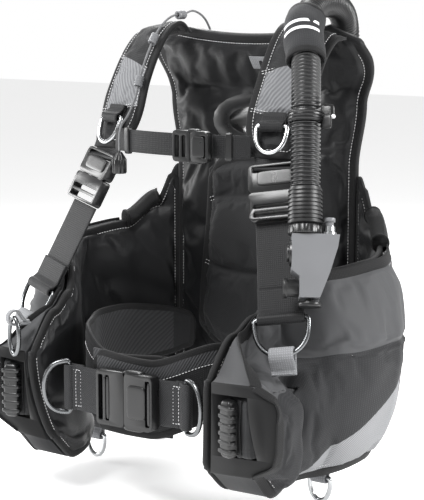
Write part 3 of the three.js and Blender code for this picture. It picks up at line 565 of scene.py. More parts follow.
FLOOR = cad_box[0][2] - 0.002
floor_paint = Paint("pale_floor", (0.9, 0.9, 0.9), 0.9, Emission_Color=(1, 1, 1, 1), Emission_Strength=0.4)
floor_paint.vary(0.02, 4)
corner = np.array([[[-6, -6, FLOOR], [-6, 6, FLOOR]], [[6, -6, FLOOR], [6, 6, FLOOR]]], float)
floor = build("floor", *joined([(corner, corner[..., :2], False, False)]), floor_paint.material, None)

# %% [markdown]
# ## The two pull cords
# Each is a fixed length of 2.6 mm cord from its valve to a ribbed knob. Its route is the CAD route, point for
# point, and the tube is swept along it. The knobs move with their own joints.

# %% Pull cords
CORD = 0.0026
shoulder_route = np.array([
    [-80, -12, 268], [-79, -17, 284], [-78, -34, 304], [-77, -58, 313], [-76.5, -80, 309],
    [-77.6, -95, 308.5], [-79, -111, 301.5], [-79.6, -127.5, 287.5], [-80, -143, 266],
    [-79.5, -157.5, 241.5], [-78.5, -168.5, 218], [-79, -181, 199], [-79.5, -193, 188],
    [-79.5, -197, 176], [-79.5, -197, 159],
]) * MM
rear_route = np.array([[-156.4, -19, -104.9], [-156.4, -19, -150], [-156.4, -19, -196]]) * MM
braid = cloth("braided_cord", (0.16, 0.162, 0.168), 0.6, 0.0016, 0.0003, 0.2, 0.4, True)
for name, route, slack in (("shoulder", shoulder_route, 0.03), ("rear", rear_route, 0.03)):
    line = respaced(along(route, np.linspace(0, 1, 600)), 240)
    cord = tube(name + "_dump_cord_braid", line, CORD / 2, braid, None, sides=10)
    knob = name + "_dump_knob"
    line[-1] + [0, 0, slack]
    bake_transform(cord)
    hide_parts(name + "_dump_cord")

# %% [markdown]
# ## Padding and hard parts
# Padded pieces get their fullness from a short cloth simulation: the rim and the seams are held, a little air
# pressure blows the rest out, and its crumples become the mesh. Hard parts keep the CAD shape: a merged copy
# takes a small bevel, so that its edges catch the light.

# %% Cloth and bevels
SEAM_REACH = 0.004
FRAMES = 20  # a cloth simulation's length


def corner_uv(piece):
    """The UV of each point (its last corner's)."""
    data = piece.data
    uv = np.empty(2 * len(data.loops))
    data.uv_layers["UVMap"].data.foreach_get("uv", uv)
    index = np.empty(len(data.loops), int)
    data.loops.foreach_get("vertex_index", index)
    out = np.zeros((len(data.vertices), 2))
    out[index] = uv.reshape(-1, 2)
    return out


def read_points(data):
    """All the points of a mesh as one array."""
    flat = np.empty(3 * len(data.vertices))
    data.vertices.foreach_get("co", flat)
    return flat.reshape(-1, 3)


def puff(piece, held, cap=0.006, pressure=4.0, slack=0.04):
    """Blows a closed piece out: cloth with air pressure, no gravity and `slack` of spare cloth, for
    FRAMES frames. The held points stay, and no point moves further than cap."""
    still = piece.vertex_groups.new(name="held")
    still.add(np.flatnonzero(held).tolist(), 1.0, "REPLACE")
    cloth = piece.modifiers.new("air", "CLOTH")
    settings = cloth.settings
    settings.vertex_group_mass = "held"
    settings.quality = 4
    settings.use_pressure, settings.uniform_pressure_force = True, pressure
    settings.shrink_min = settings.shrink_max = -slack
    settings.effector_weights.gravity = 0
    cloth.point_cache.frame_start, cloth.point_cache.frame_end = 1, FRAMES
    cloth.collision_settings.use_collision = False
    before = read_points(piece.data)
    for step in range(1, FRAMES + 1):
        bpy.context.scene.frame_set(step)
    shown = piece.evaluated_get(bpy.context.evaluated_depsgraph_get())
    moved = read_points(shown.data) - before
    far = np.linalg.norm(moved, axis=1, keepdims=True)
    moved = np.nan_to_num(moved) * np.minimum(1, cap / np.maximum(far, 1e-9))
    piece.modifiers.remove(cloth)
    piece.vertex_groups.remove(still)
    piece.data.vertices.foreach_set("co", (before + moved).ravel())
    piece.data.update()
    bpy.context.scene.frame_set(1)
    return piece


def soften(piece, depth, wave, held, seed):
    """Soft folds: each point moves along its normal by depth times a sum of six plane waves, sin(k . p + a),
    whose directions come from a seeded generator, and not at all on the held points."""
    data = piece.data
    p = read_points(data)
    n = np.empty(3 * len(data.vertices))
    data.vertices.foreach_get("normal", n)
    pick = np.random.default_rng(seed)
    ways = unit(pick.normal(size=(6, 3))) * (2 * np.pi / wave) * pick.uniform(0.6, 1.7, (6, 1))
    height = np.sin(p @ ways.T + pick.uniform(0, 6.3, 6)).sum(1) / 3
    p += n.reshape(-1, 3) * (height * depth * (1 - held))[:, None]
    data.vertices.foreach_set("co", p.ravel())
    data.update()
    return piece


def near_rim(piece, size, width, *seams):
    """1 on points within `width` of the rim, or within 4 mm of a seam at one share of v, else 0."""
    u, v = corner_uv(piece).T
    held = np.minimum(np.minimum(u, size[0] - u), np.minimum(v, size[1] - v)) < width
    for share in seams:
        held |= np.abs(v - share * size[1]) < SEAM_REACH
    return held.astype(float)


def hard(node, finish, width=0.0008, segments=2):
    """A merged, bevelled and smoothed copy of a CAD node stands for it."""
    data = bpy.data.objects[node].data.copy()
    solid = bmesh.new()
    solid.from_mesh(data)
    bmesh.ops.remove_doubles(solid, verts=solid.verts, dist=2e-6)
    bmesh.ops.dissolve_limit(solid, angle_limit=math.radians(1), verts=solid.verts, edges=solid.edges)
    solid.to_mesh(data)
    solid.free()
    piece = bpy.data.objects.new(node + "_shape", data)
    bpy.context.scene.collection.objects.link(piece)
    data.materials.clear()
    data.materials.append(finish)
    data.polygons.foreach_set("use_smooth", np.ones(len(data.polygons), bool))
    bevel = piece.modifiers.new("edges", "BEVEL")
    bevel.width, bevel.segments, bevel.limit_method = width, segments, "ANGLE"
    bevel.angle_limit = math.radians(35)
    bevel.harden_normals = True
    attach(piece, body_with[node])
    return stand_for(piece, node)


def stand_for(piece, *nodes):
    """The piece takes the nodes' place: the nodes are hidden."""
    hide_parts(*nodes)
    return piece


body_with = {node: body for body, nodes in frame["record"]["behaviour"]["bodies"].items() for node in nodes}

# %% [markdown]
# ## The back
# The air cell behind the wearer is nylon, loosely filled, and bound round its rim with tape. A padded cushion
# lies on its front, sewn into three rolls. The hard plate behind it carries the cylinder, and its handle comes
# through the cell in an oval ring.

# %% Back surfaces
def stacked(x, y, z):
    """Coordinates in millimetres as points in metres."""
    return np.stack(np.broadcast_arrays(x, y, z), -1) * MM


CELL_MIDDLE, PAD_MIDDLE = -19.6, -41.1  # how far forward each one lies
BACK_WIDTH = [(-160, 98), (-136, 124), (130, 124), (200, 134), (250, 148), (268, 144), (290, 106)]


def back(u, v):
    """The cell's middle: x = s width(level), leaning forward above 221 mm, its hem and collar bowed."""
    s = 2 * u - 1
    level = -160 + 447 * v
    lean = CELL_MIDDLE - 40 * ease((level - 221) / 79)
    return stacked(s * graded(BACK_WIDTH, level), lean, level + 12 * s * s * v - 8 * (1 - s * s) * (1 - v))


def pad(u, v):
    """The cushion's middle: half as wide as the cell, with an arched top and a rounded bottom."""
    s = 2 * u - 1
    arch = np.sqrt(np.maximum(0, 1 - 0.75 * s * s))
    top, bottom = 148 - 42 * (1 - arch), -96 + 70 * (1 - arch)
    return stacked(s * 72 * (1 + 0.1 * np.cos(np.pi * v)), PAD_MIDDLE, bottom + (top - bottom) * v)


def cylinder(name, place, radii, depth, finish, sides=48):
    """An elliptical cylinder about the Y axis, used to cut the handle's hole."""
    a = 2 * np.pi * np.arange(sides) / sides
    ring = np.stack([radii[0] * np.cos(a), np.zeros(sides), radii[1] * np.sin(a)], 1)
    rings = [place + ring * k + [0, y, 0] for k, y in ((1e-6, -depth), (1, -depth), (1, depth), (1e-6, depth))]
    grid = np.stack(rings)
    return build(name, *joined([(grid, grid[..., :2], False, True)]), finish, None, weld=1e-5)


def cut_by(piece, tool):
    """Takes the tool's shape out of the piece; the cut faces keep the tool's finish."""
    cut = piece.modifiers.new("cut", "BOOLEAN")
    cut.operation, cut.object, cut.solver, cut.material_mode = "DIFFERENCE", tool, "EXACT", "TRANSFER"
    graph = bpy.context.evaluated_depsgraph_get()
    done = bpy.data.meshes.new_from_object(piece.evaluated_get(graph))
    piece.modifiers.remove(cut)
    old, piece.data = piece.data, done
    bpy.data.meshes.remove(old)
    bpy.data.objects.remove(tool)
    return piece


# %% Air cell, cushion, plate and handle
CELL_SIZE, PAD_SIZE = (0.262, 0.447), (0.150, 0.226)
cell = shell("back_cell_cloth", back, 0.021, 90, 140, CELL_SIZE, nylon, "vest", rim=0.02)
rim = near_rim(cell, CELL_SIZE, 0.010, 0.70)
soften(cell, 0.0011, 0.045, rim, 3)
puff(cell, rim, 0.006)
cut_by(cell, cylinder("hole", np.array([0, CELL_MIDDLE, 186]) * MM, (0.0438, 0.0218), 0.04, lining))
stand_for(cell, "back_cell")
bind("back_cell_binding", back, CELL_SIZE, 0.02, 0.011, 0.0088, 320)
for face, depth in (("front", 0.0052), ("rear", -0.0052)):
    seam("back_cell_stitching_" + face, back, rim_path(CELL_SIZE, 0.0080, 0.02), -depth, "vest")

cushion = shell("back_pad_cloth", pad, 0.0185, 70, 100, PAD_SIZE, cushion_cloth, "vest", rim=0.014)
rolls = (0.42, 0.80)
rim = near_rim(cushion, PAD_SIZE, 0.008, *rolls)
u, v = corner_uv(cushion).T
points = read_points(cushion.data)
for share in rolls:
    dip = np.exp(-(((v - share * PAD_SIZE[1]) / 0.006) ** 2))
    points[:, 1] += dip * 0.45 * (PAD_MIDDLE * MM - points[:, 1])
cushion.data.vertices.foreach_set("co", points.ravel())
soften(cushion, 0.0006, 0.05, rim, 5)
puff(cushion, rim, 0.003)
stand_for(cushion, "back_pad")
bind("back_pad_binding", pad, PAD_SIZE, 0.012, 0.0105, 0.0082, 260)
for k, share in enumerate(rolls):
    path = np.stack([np.linspace(0.04, 0.96, 20), np.full(20, share)], 1)
    seam(f"back_pad_seam_{k}", pad, path, 0.0042, "vest", gap=0.004)
plate = hard("back_plate", plastic, 0.0012)
print("back made,", len(cell.data.polygons), "faces in the cell")

# %% [markdown]
# ## The tank band
# A 50 mm webbing band runs in front of the plate, out through its two slots and round the cylinder's place.
# The buckle and its lever are moulded.

# %% Tank band
angle = np.radians(np.linspace(-40, 220, 100))
loop = np.stack([94.6 * np.cos(angle), 92 + 94.6 * np.sin(angle)], 1)
front = np.array([[-65, 3], [-62, -2], [-57, -6.8], [57, -6.8], [62, -2], [65, 3]])
loop = np.vstack([loop, front])
loop = respaced(np.vstack([loop, loop[:1]]), 281)[:-1]
band_line = stacked(loop[:, 0], loop[:, 1], -14.0)
upright = np.broadcast_to([0.0, 0.0, 1.0], band_line.shape)
outwards = unit(np.cross(tangents(band_line, True), upright))
outline = round_flat(0.05, 0.0026)
piece = sweep("tank_strap_webbing", band_line, upright, outwards, outline, webbing, "vest", True)
stand_for(piece, "tank_strap")
hard("cam_buckle", plastic)
hard("cam_lever", plastic)

# %% [markdown]
# ## The air lobes
# Each lobe is one padded sheet that starts at the back's side, comes round under the arm and ends at the front
# edge. It is bound all round with tape and sewn just inside the tape.

# %% Lobes
LOBE_LINE = [(127.1, -19.6), (152, -31), (178, -60), (196, -115), (172, -174), (132, -222), (121, -263),
             (118, -310)]
LOBE_TOP = [(0, 128), (0.14, 84), (0.29, 58), (0.43, 52), (0.57, 46), (0.66, 32), (0.75, 2), (0.86, -14),
            (1, -55)]
LOBE_BOTTOM = [(0, -148), (0.3, -162), (0.6, -174), (0.86, -184), (1, -155)]
LOBE_SIZE = (0.385, 0.200)


def lobe(u, v):
    """The lobe's middle: a level line round the waist, lifted from hem to top, closing in towards the hem."""
    line = along(LOBE_LINE, u)
    close = 1 - 0.12 * (1 - v) ** 2 * ease(u / 0.35)
    low, high = graded(LOBE_BOTTOM, u), graded(LOBE_TOP, u)
    return stacked(line[..., 0] * close, -150 + (line[..., 1] + 150) * close, low + (high - low) * v)


def on_side(place, side):
    """The same surface on either side of the vest."""
    return lambda u, v: mirrored(side, place(u, v))


for side_name, side in SIDES:
    place = on_side(lobe, side)
    piece = shell("lobe_cloth_" + side_name, place, 0.0135, 120, 60, LOBE_SIZE, nylon, "vest", rim=0.016)
    rim = near_rim(piece, LOBE_SIZE, 0.010)
    soften(piece, 0.0009, 0.05, rim, 11 + side)
    puff(piece, rim, 0.0035)
    stand_for(piece, "lobe_" + side_name)
    bind("lobe_binding_" + side_name, place, LOBE_SIZE, 0.012, 0.0105, 0.0068, 320)
    for face, depth in (("in", 0.0034), ("out", -0.0034)):
        seam(f"lobe_stitching_{face}_{side_name}", place, rim_path(LOBE_SIZE, 0.0083), depth, "vest")

# %% [markdown]
# ## The pockets
# A pocket is a cloth box on the lobe: deep at the front, where the weight pouch slides in, and running out to
# nothing under the arm. Its panels are three cloths, so one material lays them out on the pocket's own UV map:
# a smooth panel along the top, coarse nylon over the middle and a light ribbed wedge at the rear.

# %% Pocket cloth
POCKET_SIZE = (0.290, 0.200)


def panelled(name, base, panels, pitch=0.0021, depth=0.0003):
    """Coarse cloth with other cloths let in: each panel is (mask of u and v, colour, rib pitch or None)."""
    paint = Paint(name, base, 0.68, Sheen_Weight=0.06, Sheen_Roughness=0.4, Specular_IOR_Level=0.22)
    u, v = paint.uv()
    weave = u.wave(pitch) * v.wave(pitch)
    grain = paint.noise(420, 3)
    patches = paint.noise(16, 4)
    shade = patches * 0.5 + weave * 0.5 * (0.4 + grain)
    tone = paint.mix(shade, [c * 0.7 for c in base], [c * 1.5 for c in base])
    height = weave * 0.7 + grain * 0.5
    for mask, color, rib in panels:
        inside = mask(u, v)
        ribs = (u * 0.8 + v * 0.6).wave(rib) if rib else grain * 0.3
        low, high = [c * (0.62 if rib else 0.85) for c in color], [c * (1.25 if rib else 1.15) for c in color]
        other = paint.mix(ribs * 0.7 + patches * 0.3, low, high)
        tone = paint.mix(inside, tone, other)
        height = height * (1 - inside) + ribs * inside * (1.6 if rib else 0.5)
    paint.to("Base Color", tone).bump(height, depth)
    return paint.material


PANEL_RISE, PANEL_START = 0.08, 0.118  # the top panel's lower edge: its slope, and its height at the rear
WEDGE_FALL, WEDGE_START = 0.62, 0.110  # the rear wedge's upper edge
pocket_cloth = panelled("pocket_cloth", (0.022, 0.0224, 0.024), [
    (lambda u, v: v > u * PANEL_RISE + PANEL_START, (0.07, 0.071, 0.074), None),
    (lambda u, v: (v < WEDGE_START - u * WEDGE_FALL) * (u > 0.040), (0.25, 0.254, 0.262), 0.0022),
    (lambda u, v: u > 0.2880, (0.007, 0.0071, 0.0075), None),
])
DEPTH = [(0.29, 8), (0.36, 26), (0.43, 32), (0.57, 46), (0.71, 62), (0.86, 74), (1, 76)]
WAY = [(0.29, 37), (0.43, 3), (0.57, -26), (0.71, -18), (0.86, 2), (1, 8)]
FULLNESS = [
    (0.57, [(0, 0.45), (0.12, 0.85), (0.3, 1), (0.62, 1), (0.85, 0.6), (1, 0.12)]),
    (0.68, [(0, 0.5), (0.12, 0.9), (0.3, 1), (0.52, 0.97), (0.61, 0.6), (0.69, 0.12), (0.75, 0.05), (1, 0.04)]),
    (0.86, [(0, 0.6), (0.12, 0.95), (0.3, 1), (0.64, 1), (0.69, 0.85), (0.75, 0.15), (0.82, 0.05), (1, 0.04)]),
    (1, [(0, 0.6), (0.12, 0.95), (0.3, 1), (0.8, 1), (0.92, 0.9), (1, 0.5)]),
]


def lobe_share(w):
    """Where along the lobe the share w of the pocket's length is."""
    return 0.2857 + 0.7143 * w


def pocket_inner(w, v):
    """The pocket's back, half a millimetre off the lobe."""
    u = lobe_share(w)
    return lobe(u, v) - normal_of(lobe, u, v) * 0.0075


def full_at(u, v):
    """How full the pocket is: the mean of `fill` over a small span of v, which rounds its corners."""
    spread = np.linspace(-0.07, 0.07, 9)
    return np.mean([fill(u, np.clip(v + step, 0, 1)) for step in spread], 0)


def fill(u, v):
    """The four profiles of fullness over v, eased from one to the next along u."""
    profiles = np.stack([graded(profile, v) for _, profile in FULLNESS])
    spots = np.array([at for at, _ in FULLNESS])
    i = np.clip(np.searchsorted(spots, u, side="right") - 1, 0, 2)
    t = ease((u - spots[i]) / (spots[i + 1] - spots[i]))
    low = np.take_along_axis(profiles, i[None], 0)[0]
    high = np.take_along_axis(profiles, i[None] + 1, 0)[0]
    return low + (high - low) * t


def pocket_outer(w, v, short=0.0):
    """The pocket's face: the inner surface pushed out by depth times fullness, `short` metres less."""
    w, v = np.broadcast_arrays(np.asarray(w, float), np.asarray(v, float))
    u = lobe_share(w)
    a = np.radians(graded(WAY, u))
    reach = np.maximum(0.0003, graded(DEPTH, u) * full_at(u, v) * MM - short)
    return pocket_inner(w, v) + np.stack([np.cos(a), np.sin(a), 0 * a], -1) * reach[..., None]


# %% Pockets and their pouches
POCKET_COLUMNS = 76


def pouch_frame(side):
    """The pouch's frame: its place at the pocket's mouth, Y along the way it slides in."""
    return upright_at(side * 148, -300, -101, (0.9638, -side * 0.2667, 0))


for side_name, side in SIDES:
    inner, outer = on_side(pocket_inner, side), on_side(pocket_outer, side)
    w, v = np.meshgrid(np.linspace(0, 1, 100), np.linspace(0, 1, POCKET_COLUMNS), indexing="ij")
    edge = np.clip(1 - np.minimum(np.minimum(v * 0.2, (1 - v) * 0.2), (1 - w) * 0.29) / 0.005, 0, 1)
    rounding = 0.004 * (1 - np.sqrt(1 - np.minimum(0.999, edge) ** 2))
    face = mirrored(side, pocket_outer(w, v, rounding))
    flat = np.stack([w * POCKET_SIZE[0], v * POCKET_SIZE[1]], -1)
    piece = closed_pair("pocket_cloth_" + side_name, face, inner(w, v), flat, pocket_cloth, "vest")
    u, h = corner_uv(piece).T
    back_face = np.arange(len(u)) % (2 * POCKET_COLUMNS) >= POCKET_COLUMNS
    rim = (near_rim(piece, POCKET_SIZE, 0.010) > 0) | back_face | (u > 0.272)
    rim |= np.abs(h - PANEL_START - u * PANEL_RISE) < SEAM_REACH
    soften(piece, 0.0010, 0.06, rim.astype(float), 21 + side)
    puff(piece, rim, 0.004, 5.0)
    a, b = 0.018, 0.034
    ring = np.array([[-a, -b], [a, -b], [a, b], [-a, b]])
    outline = np.stack([placed(pouch_frame(side), np.column_stack([ring[:, 0], np.full(4, y), ring[:, 1]]))
                        for y in (-0.045, -0.045, 0.0965, 0.0965)])
    outline[0], outline[3] = outline[0].mean(0), outline[3].mean(0)
    hole = build("hole", *joined([(outline, outline[..., :2], False, True)]), lining, None, weld=WELD)
    cut_by(piece, hole)
    stand_for(piece, "pocket_" + side_name)
    line = np.linspace(0.02, 0.985, 60)
    top = np.stack([line, (PANEL_START + PANEL_RISE * line * POCKET_SIZE[0]) / POCKET_SIZE[1]], 1)
    seam("pocket_seam_" + side_name, outer, top, 0.0014 * side, "vest", gap=0.005)
    low = np.linspace(0.165, 0.63, 30)
    wedge = np.stack([low, (WEDGE_START - WEDGE_FALL * low * POCKET_SIZE[0]) / POCKET_SIZE[1]], 1)
    seam("pocket_wedge_seam_" + side_name, outer, wedge, 0.0012 * side, "vest", gap=0.004)
    for name, path in (
        ("hem", np.stack([line, np.full(60, 0.02)], 1)),
        ("top", np.stack([line, np.full(60, 0.985)], 1)),
        ("front", np.stack([np.full(60, 0.985), np.linspace(0.01, 0.985, 60)], 1)),
    ):
        tape(f"pocket_{name}_tape_{side_name}", outer, path, 0.013, 0.0026, "vest", 0.0008 * side)
        inset = {"hem": (0, 0.036), "top": (0, -0.036), "front": (-0.024, 0)}[name]
        seam(f"pocket_{name}_stitching_{side_name}", outer, path + inset, 0.0016 * side, "vest")
print("lobes and pockets made")

# %% [markdown]
# ## Webbing, rings and small mouldings
# Webbing is one flat outline carried along its own path, so it can run straight, fold round a bar and come
# back on itself. A ring is a bent wire: a straight bar and a bow. Small mouldings are rounded boxes, worked out
# as a superellipsoid: each axis is the sine or cosine raised to a small power.

# %% Straps, rings and pillows
WEB = 0.0026  # thickness of a webbing loop


def strap(name, points, across, width, thickness, finish, body, count=80, smooth=True):
    """Webbing along a path in metres; `across` is the way its width lies."""
    points = np.asarray(points, float)
    line = respaced(along(points, np.linspace(0, 1, 600)) if smooth else points, count)
    step = tangents(line)
    side = np.broadcast_to(unit(np.asarray(across, float)), line.shape)
    side = unit(side - step * (side * step).sum(1, keepdims=True))
    return sweep(name, line, side, np.cross(step, side), round_flat(width, thickness, 20, 0.3), finish, body)


def fold_path(frame_of_tab, tail, back_tail, bore):
    """A webbing loop round a bar: up one side, round the bar, and back up on the inside for back_tail."""
    r = bore + WEB / 2
    a = np.radians(np.linspace(0, -255, 24))
    fold = np.stack([r * np.cos(a), r * np.sin(a)], 1)
    start = np.stack([np.full(10, r), np.linspace(tail, 0.002, 10)], 1)
    end = np.stack([np.full(8, r - WEB - 0.0001), np.linspace(r + 0.006, back_tail, 8)], 1)
    flat = np.vstack([start, fold, end])
    return placed(frame_of_tab, np.column_stack([np.zeros(len(flat)), flat]))


def tab(name, frame_of_tab, width, tail, finish, body, back_tail=None, bore=0.0035):
    """A sewn webbing loop, with a row of stitches across where its end is sewn down."""
    path = fold_path(frame_of_tab, tail, back_tail or tail, bore)
    piece = strap(name, path, frame_of_tab[0][:, 0], width, WEB, finish, body, 110, smooth=False)
    r = bore - WEB / 2 - 0.0003
    x = np.linspace(-width / 2 + 0.002, width / 2 - 0.002, 20)
    rows = []
    for z in (bore + 0.0075, (back_tail or tail) - 0.002):
        line = placed(frame_of_tab, np.column_stack([x, np.full(20, r), np.full(20, z)]))
        rows.append((line, np.broadcast_to(-frame_of_tab[0][:, 1], line.shape)))
    stitches(name + "_stitching", rows, body)
    return piece


def d_line(width, drop, count=120):
    """A D: a straight bar of the given width, and a bow that hangs `drop` below it."""
    a = np.linspace(0, np.pi, 60)
    shoulder = width * 0.18
    fall = -(drop - shoulder) * np.sin(a) ** 0.8 - shoulder * np.sin(a) ** 0.4
    bow = np.stack([width / 2 * np.cos(a), fall], 1)
    return respaced(np.vstack([bow, [[width / 2, 0]]]), count + 1)[:-1]


def ring(name, frame_of_ring, width, drop, wire, finish, body):
    """A wire D ring in its frame: the bar along X, the bow towards -Z."""
    flat = d_line(width, drop)
    flat = np.vstack([flat[-3:], flat, flat[:3]])
    for _ in range(6):
        flat[1:-1] = (flat[:-2] + 2 * flat[1:-1] + flat[2:]) / 4
    flat = flat[3:-3]
    line = placed(frame_of_ring, np.column_stack([flat[:, 0], np.zeros(len(flat)), flat[:, 1]]))
    normal = np.broadcast_to(frame_of_ring[0][:, 1], line.shape)
    step = tangents(line, True)
    return sweep(name, line, unit(np.cross(step, normal)), normal, circle(wire, 14), finish, body, True)


def pillow(name, frame_of_piece, size, finish, body, power=0.35, rows=28):
    """A rounded box: (a cos^p v cos^p u, b cos^p v sin^p u, c sin^p v)."""
    u = np.linspace(-np.pi, np.pi, 2 * rows, endpoint=False) + 0.001
    v = np.linspace(-np.pi / 2, np.pi / 2, rows)
    v, u = np.meshgrid(v, u, indexing="ij")
    bend = lambda t: np.sign(t) * np.abs(t) ** power
    x, y, z = bend(np.cos(v)) * bend(np.cos(u)), bend(np.cos(v)) * bend(np.sin(u)), bend(np.sin(v))
    grid = placed(frame_of_piece, np.stack([x, y, z], -1) * np.array(size) / 2)
    uv = np.stack([u * size[0] / 6, v * size[2] / 3], -1)
    return build(name, *joined([(grid, uv, False, True)]), finish, body, weld=WELD)


def lathe(name, frame_of_piece, profile, finish, body, sides=40, flutes=0, deep=0.0):
    """A profile of (radius, height) turned about Z; with flutes its radius varies by deep |cos(n a / 2)|."""
    profile = np.asarray(profile, float)
    a = 2 * np.pi * np.arange(sides) / sides
    groove = 1 - deep * np.abs(np.cos(flutes * a / 2)) ** 3 if flutes else np.ones(sides)
    r, z = profile[:, :1], profile[:, 1:]
    grid = np.stack([r * groove * np.cos(a), r * groove * np.sin(a), z + 0 * a], -1)
    uv = np.stack(np.broadcast_arrays(a * 0.01, z), -1)
    grid = placed(frame_of_piece, grid)
    return build(name, *joined([(grid, uv, False, True)]), finish, body, SHARP, weld=WELD)


def shifted(frame_of_piece, x, y, z):
    """The same frame with its place moved by x, y, z millimetres along its own axes."""
    axes, origin = frame_of_piece
    return axes, origin + axes @ (np.array([x, y, z]) * MM)


# %% [markdown]
# ## Shoulder straps
# Each padded strap is sewn to the back at the collar, lies over the shoulder and ends at its buckle. A light
# ribbed panel is let into it. Below the buckle, wide webbing runs down to the large ring.

# %% Padded shoulder straps
YOKE = [(104, -73, 287), (104, -92, 291), (105, -118, 271), (106, -145, 229), (105.5, -162, 190),
        (113.5, -173.5, 160)]
YOKE_SIZE = (0.068, 0.165)


def yoke(u, v):
    """The strap's middle: a line over the shoulder plus (u - 1/2) width across it, u towards the arm."""
    v = np.asarray(v, float)
    tilt = -0.05 - 0.3 * np.sin(np.pi * np.minimum(1, v * 1.2))
    across = unit(np.stack([1 + 0 * v, 0.02 + 0.3 * v * v, tilt], -1))
    width = graded([(0, 70), (0.7, 70), (1, 56)], v)
    return (along(YOKE, v) + across * ((u - 0.5) * width)[..., None]) * MM


LET_IN_TOP, LET_IN_FALL, LET_IN_LOW = 0.094, 0.4, 0.120  # the light panel's edges, in metres down the strap
yoke_cloth = panelled("yoke_cloth", (0.014, 0.0143, 0.0152), [
    (lambda u, v: (v > LET_IN_TOP - u * LET_IN_FALL) * (v < LET_IN_LOW), (0.16, 0.163, 0.17), 0.0034),
])
START, BAR = np.array([113.5, -173.5, 160.0]), np.array([162, -237, 3.0])
FALL = unit(BAR - START)
STRAP_ACROSS = np.array([math.cos(0.32), math.sin(0.32), 0])
STRAP_LENGTH = float(np.linalg.norm(BAR - START))


def strap_frame(side, s):
    """Frame on the shoulder webbing, s millimetres below the padded strap, with Z up along it."""
    across = STRAP_ACROSS * [1, side, 1]
    return frame_at((START + FALL * s) * [side, 1, 1] * MM, across, -FALL * [side, 1, 1])


def yoke_frame(side, u, v, proud):
    """Frame on the strap's outer face: X across, Z up along it, Y into the cloth."""
    place = on_side(yoke, side)
    at = lambda a, b: place(np.array([a]), np.array([b]))[0]
    n = -side * normal_of(place, np.array([u]), np.array([v]))[0]
    origin = at(u, v) + n * (5.5 + 0.5 + proud) * MM
    return frame_at(origin, side * (at(1, v) - at(0, v)), at(u, v - 0.02) - at(u, v + 0.02))


for side_name, side in SIDES:
    place = on_side(yoke, side)
    piece = shell("shoulder_strap_cloth_" + side_name, place, 0.0105, 40, 90, YOKE_SIZE, yoke_cloth, "vest")
    rim = near_rim(piece, YOKE_SIZE, 0.009, 0.73)
    soften(piece, 0.0005, 0.04, rim, 31 + side)
    puff(piece, rim, 0.0025)
    stand_for(piece, "shoulder_yoke_" + side_name)
    bind("shoulder_strap_binding_" + side_name, place, YOKE_SIZE, 0.008, 0.010, 0.0062, 260)
    out = -side
    path = rim_path(YOKE_SIZE, 0.0082, 0.008)
    seam("shoulder_strap_stitching_" + side_name, place, path, out * 0.0042, "vest")
    x = np.linspace(0.08, 0.92, 20)
    sloping = (LET_IN_TOP - x * LET_IN_FALL * YOKE_SIZE[0]) / YOKE_SIZE[1]
    for name, v in (("top", sloping), ("low", x * 0 + LET_IN_LOW / YOKE_SIZE[1])):
        path = np.stack([x, v], 1)
        seam(f"shoulder_panel_{name}_{side_name}", place, path, out * 0.0056, "vest", gap=0.003)
    frame_of_ring = yoke_frame(side, 0.5, 0.8, 6.1)
    piece = tab("ring_tab_webbing_" + side_name, frame_of_ring, 0.026, 0.016, webbing, "vest")
    stand_for(piece, "ring_tab_" + side_name)
    body = "shoulder_ring_" + side_name
    stand_for(ring(body + "_wire", frame_of_ring, 0.034, 0.030, 0.0026, steel, body), body)

    hard("shoulder_socket_" + side_name, plastic, 0.0014)
    hard("shoulder_clip_" + side_name, plastic, 0.0012)
    low = strap_frame(side, STRAP_LENGTH)
    tail = STRAP_LENGTH - 21.6 - 46.5 - 0.5 - 0.9
    piece = tab("shoulder_webbing_strip_" + side_name, low, 0.05, tail * MM, webbing, "vest", back_tail=0.034)
    stand_for(piece, "shoulder_webbing_" + side_name)
    piece = ring("strap_ring_wire_" + side_name, low, 0.058, 0.040, 0.0026, dark_steel, "vest")
    stand_for(piece, "strap_ring_" + side_name)
    bottom = (START + FALL * (STRAP_LENGTH + 39.8)) * [side, 1, 1] * MM
    tie = frame_at(bottom, -STRAP_ACROSS * [1, side, 1], FALL * [side, 1, 1])
    piece = tab("ring_tie_webbing_" + side_name, tie, 0.026, 0.019, grey_webbing, "vest", bore=0.0066)
    stand_for(piece, "ring_tie_" + side_name)
    # the buckle's smooth face plate, and the webbing that shows through its bar
    buckle = strap_frame(side, 21.6)
    face = shifted(buckle, 0, -5.6, -1)
    pillow("shoulder_buckle_face_" + side_name, face, (0.040, 0.0028, 0.016), plastic, "vest")
    path = np.array([[0, 1.0, 26], [0, 0.6, 17], [0, -1.0, 12.5], [0, -2.6, 9.5], [0, -1, 7]]) * MM
    strap("shoulder_buckle_webbing_" + side_name, placed(buckle, path), STRAP_ACROSS * [1, side, 1], 0.048,
          0.0024, webbing, "vest", 30)

# %% [markdown]
# ## Waist and belt
# Two padded halves overlap in front. The belt's webbing lies on the outer one, and its buckle and end rings
# are the strongest things to look at on the whole front.

# %% Waist halves
def waist(inset):
    """The waist's middle, drawn in by `inset` millimetres so that one half lies inside the other."""
    i = inset
    points = [(84, -50), (110 - i, -62), (142 - i, -108), (144 - i, -162), (114 - i, -216), (86 - i, -256),
              (46, -281 + i), (0, -287 + i), (-50, -281 + i)]
    top = [(0, -50), (0.3, -34), (0.6, -30), (0.8, -50), (1, -46)]
    bottom = [(0, -88), (0.3, -108), (0.6, -112), (0.8, -134), (1, -134)]

    def place(u, v):
        line = along(points, u)
        low, high = graded(bottom, u), graded(top, u)
        return stacked(line[..., 0], line[..., 1], low + (high - low) * v)

    return place


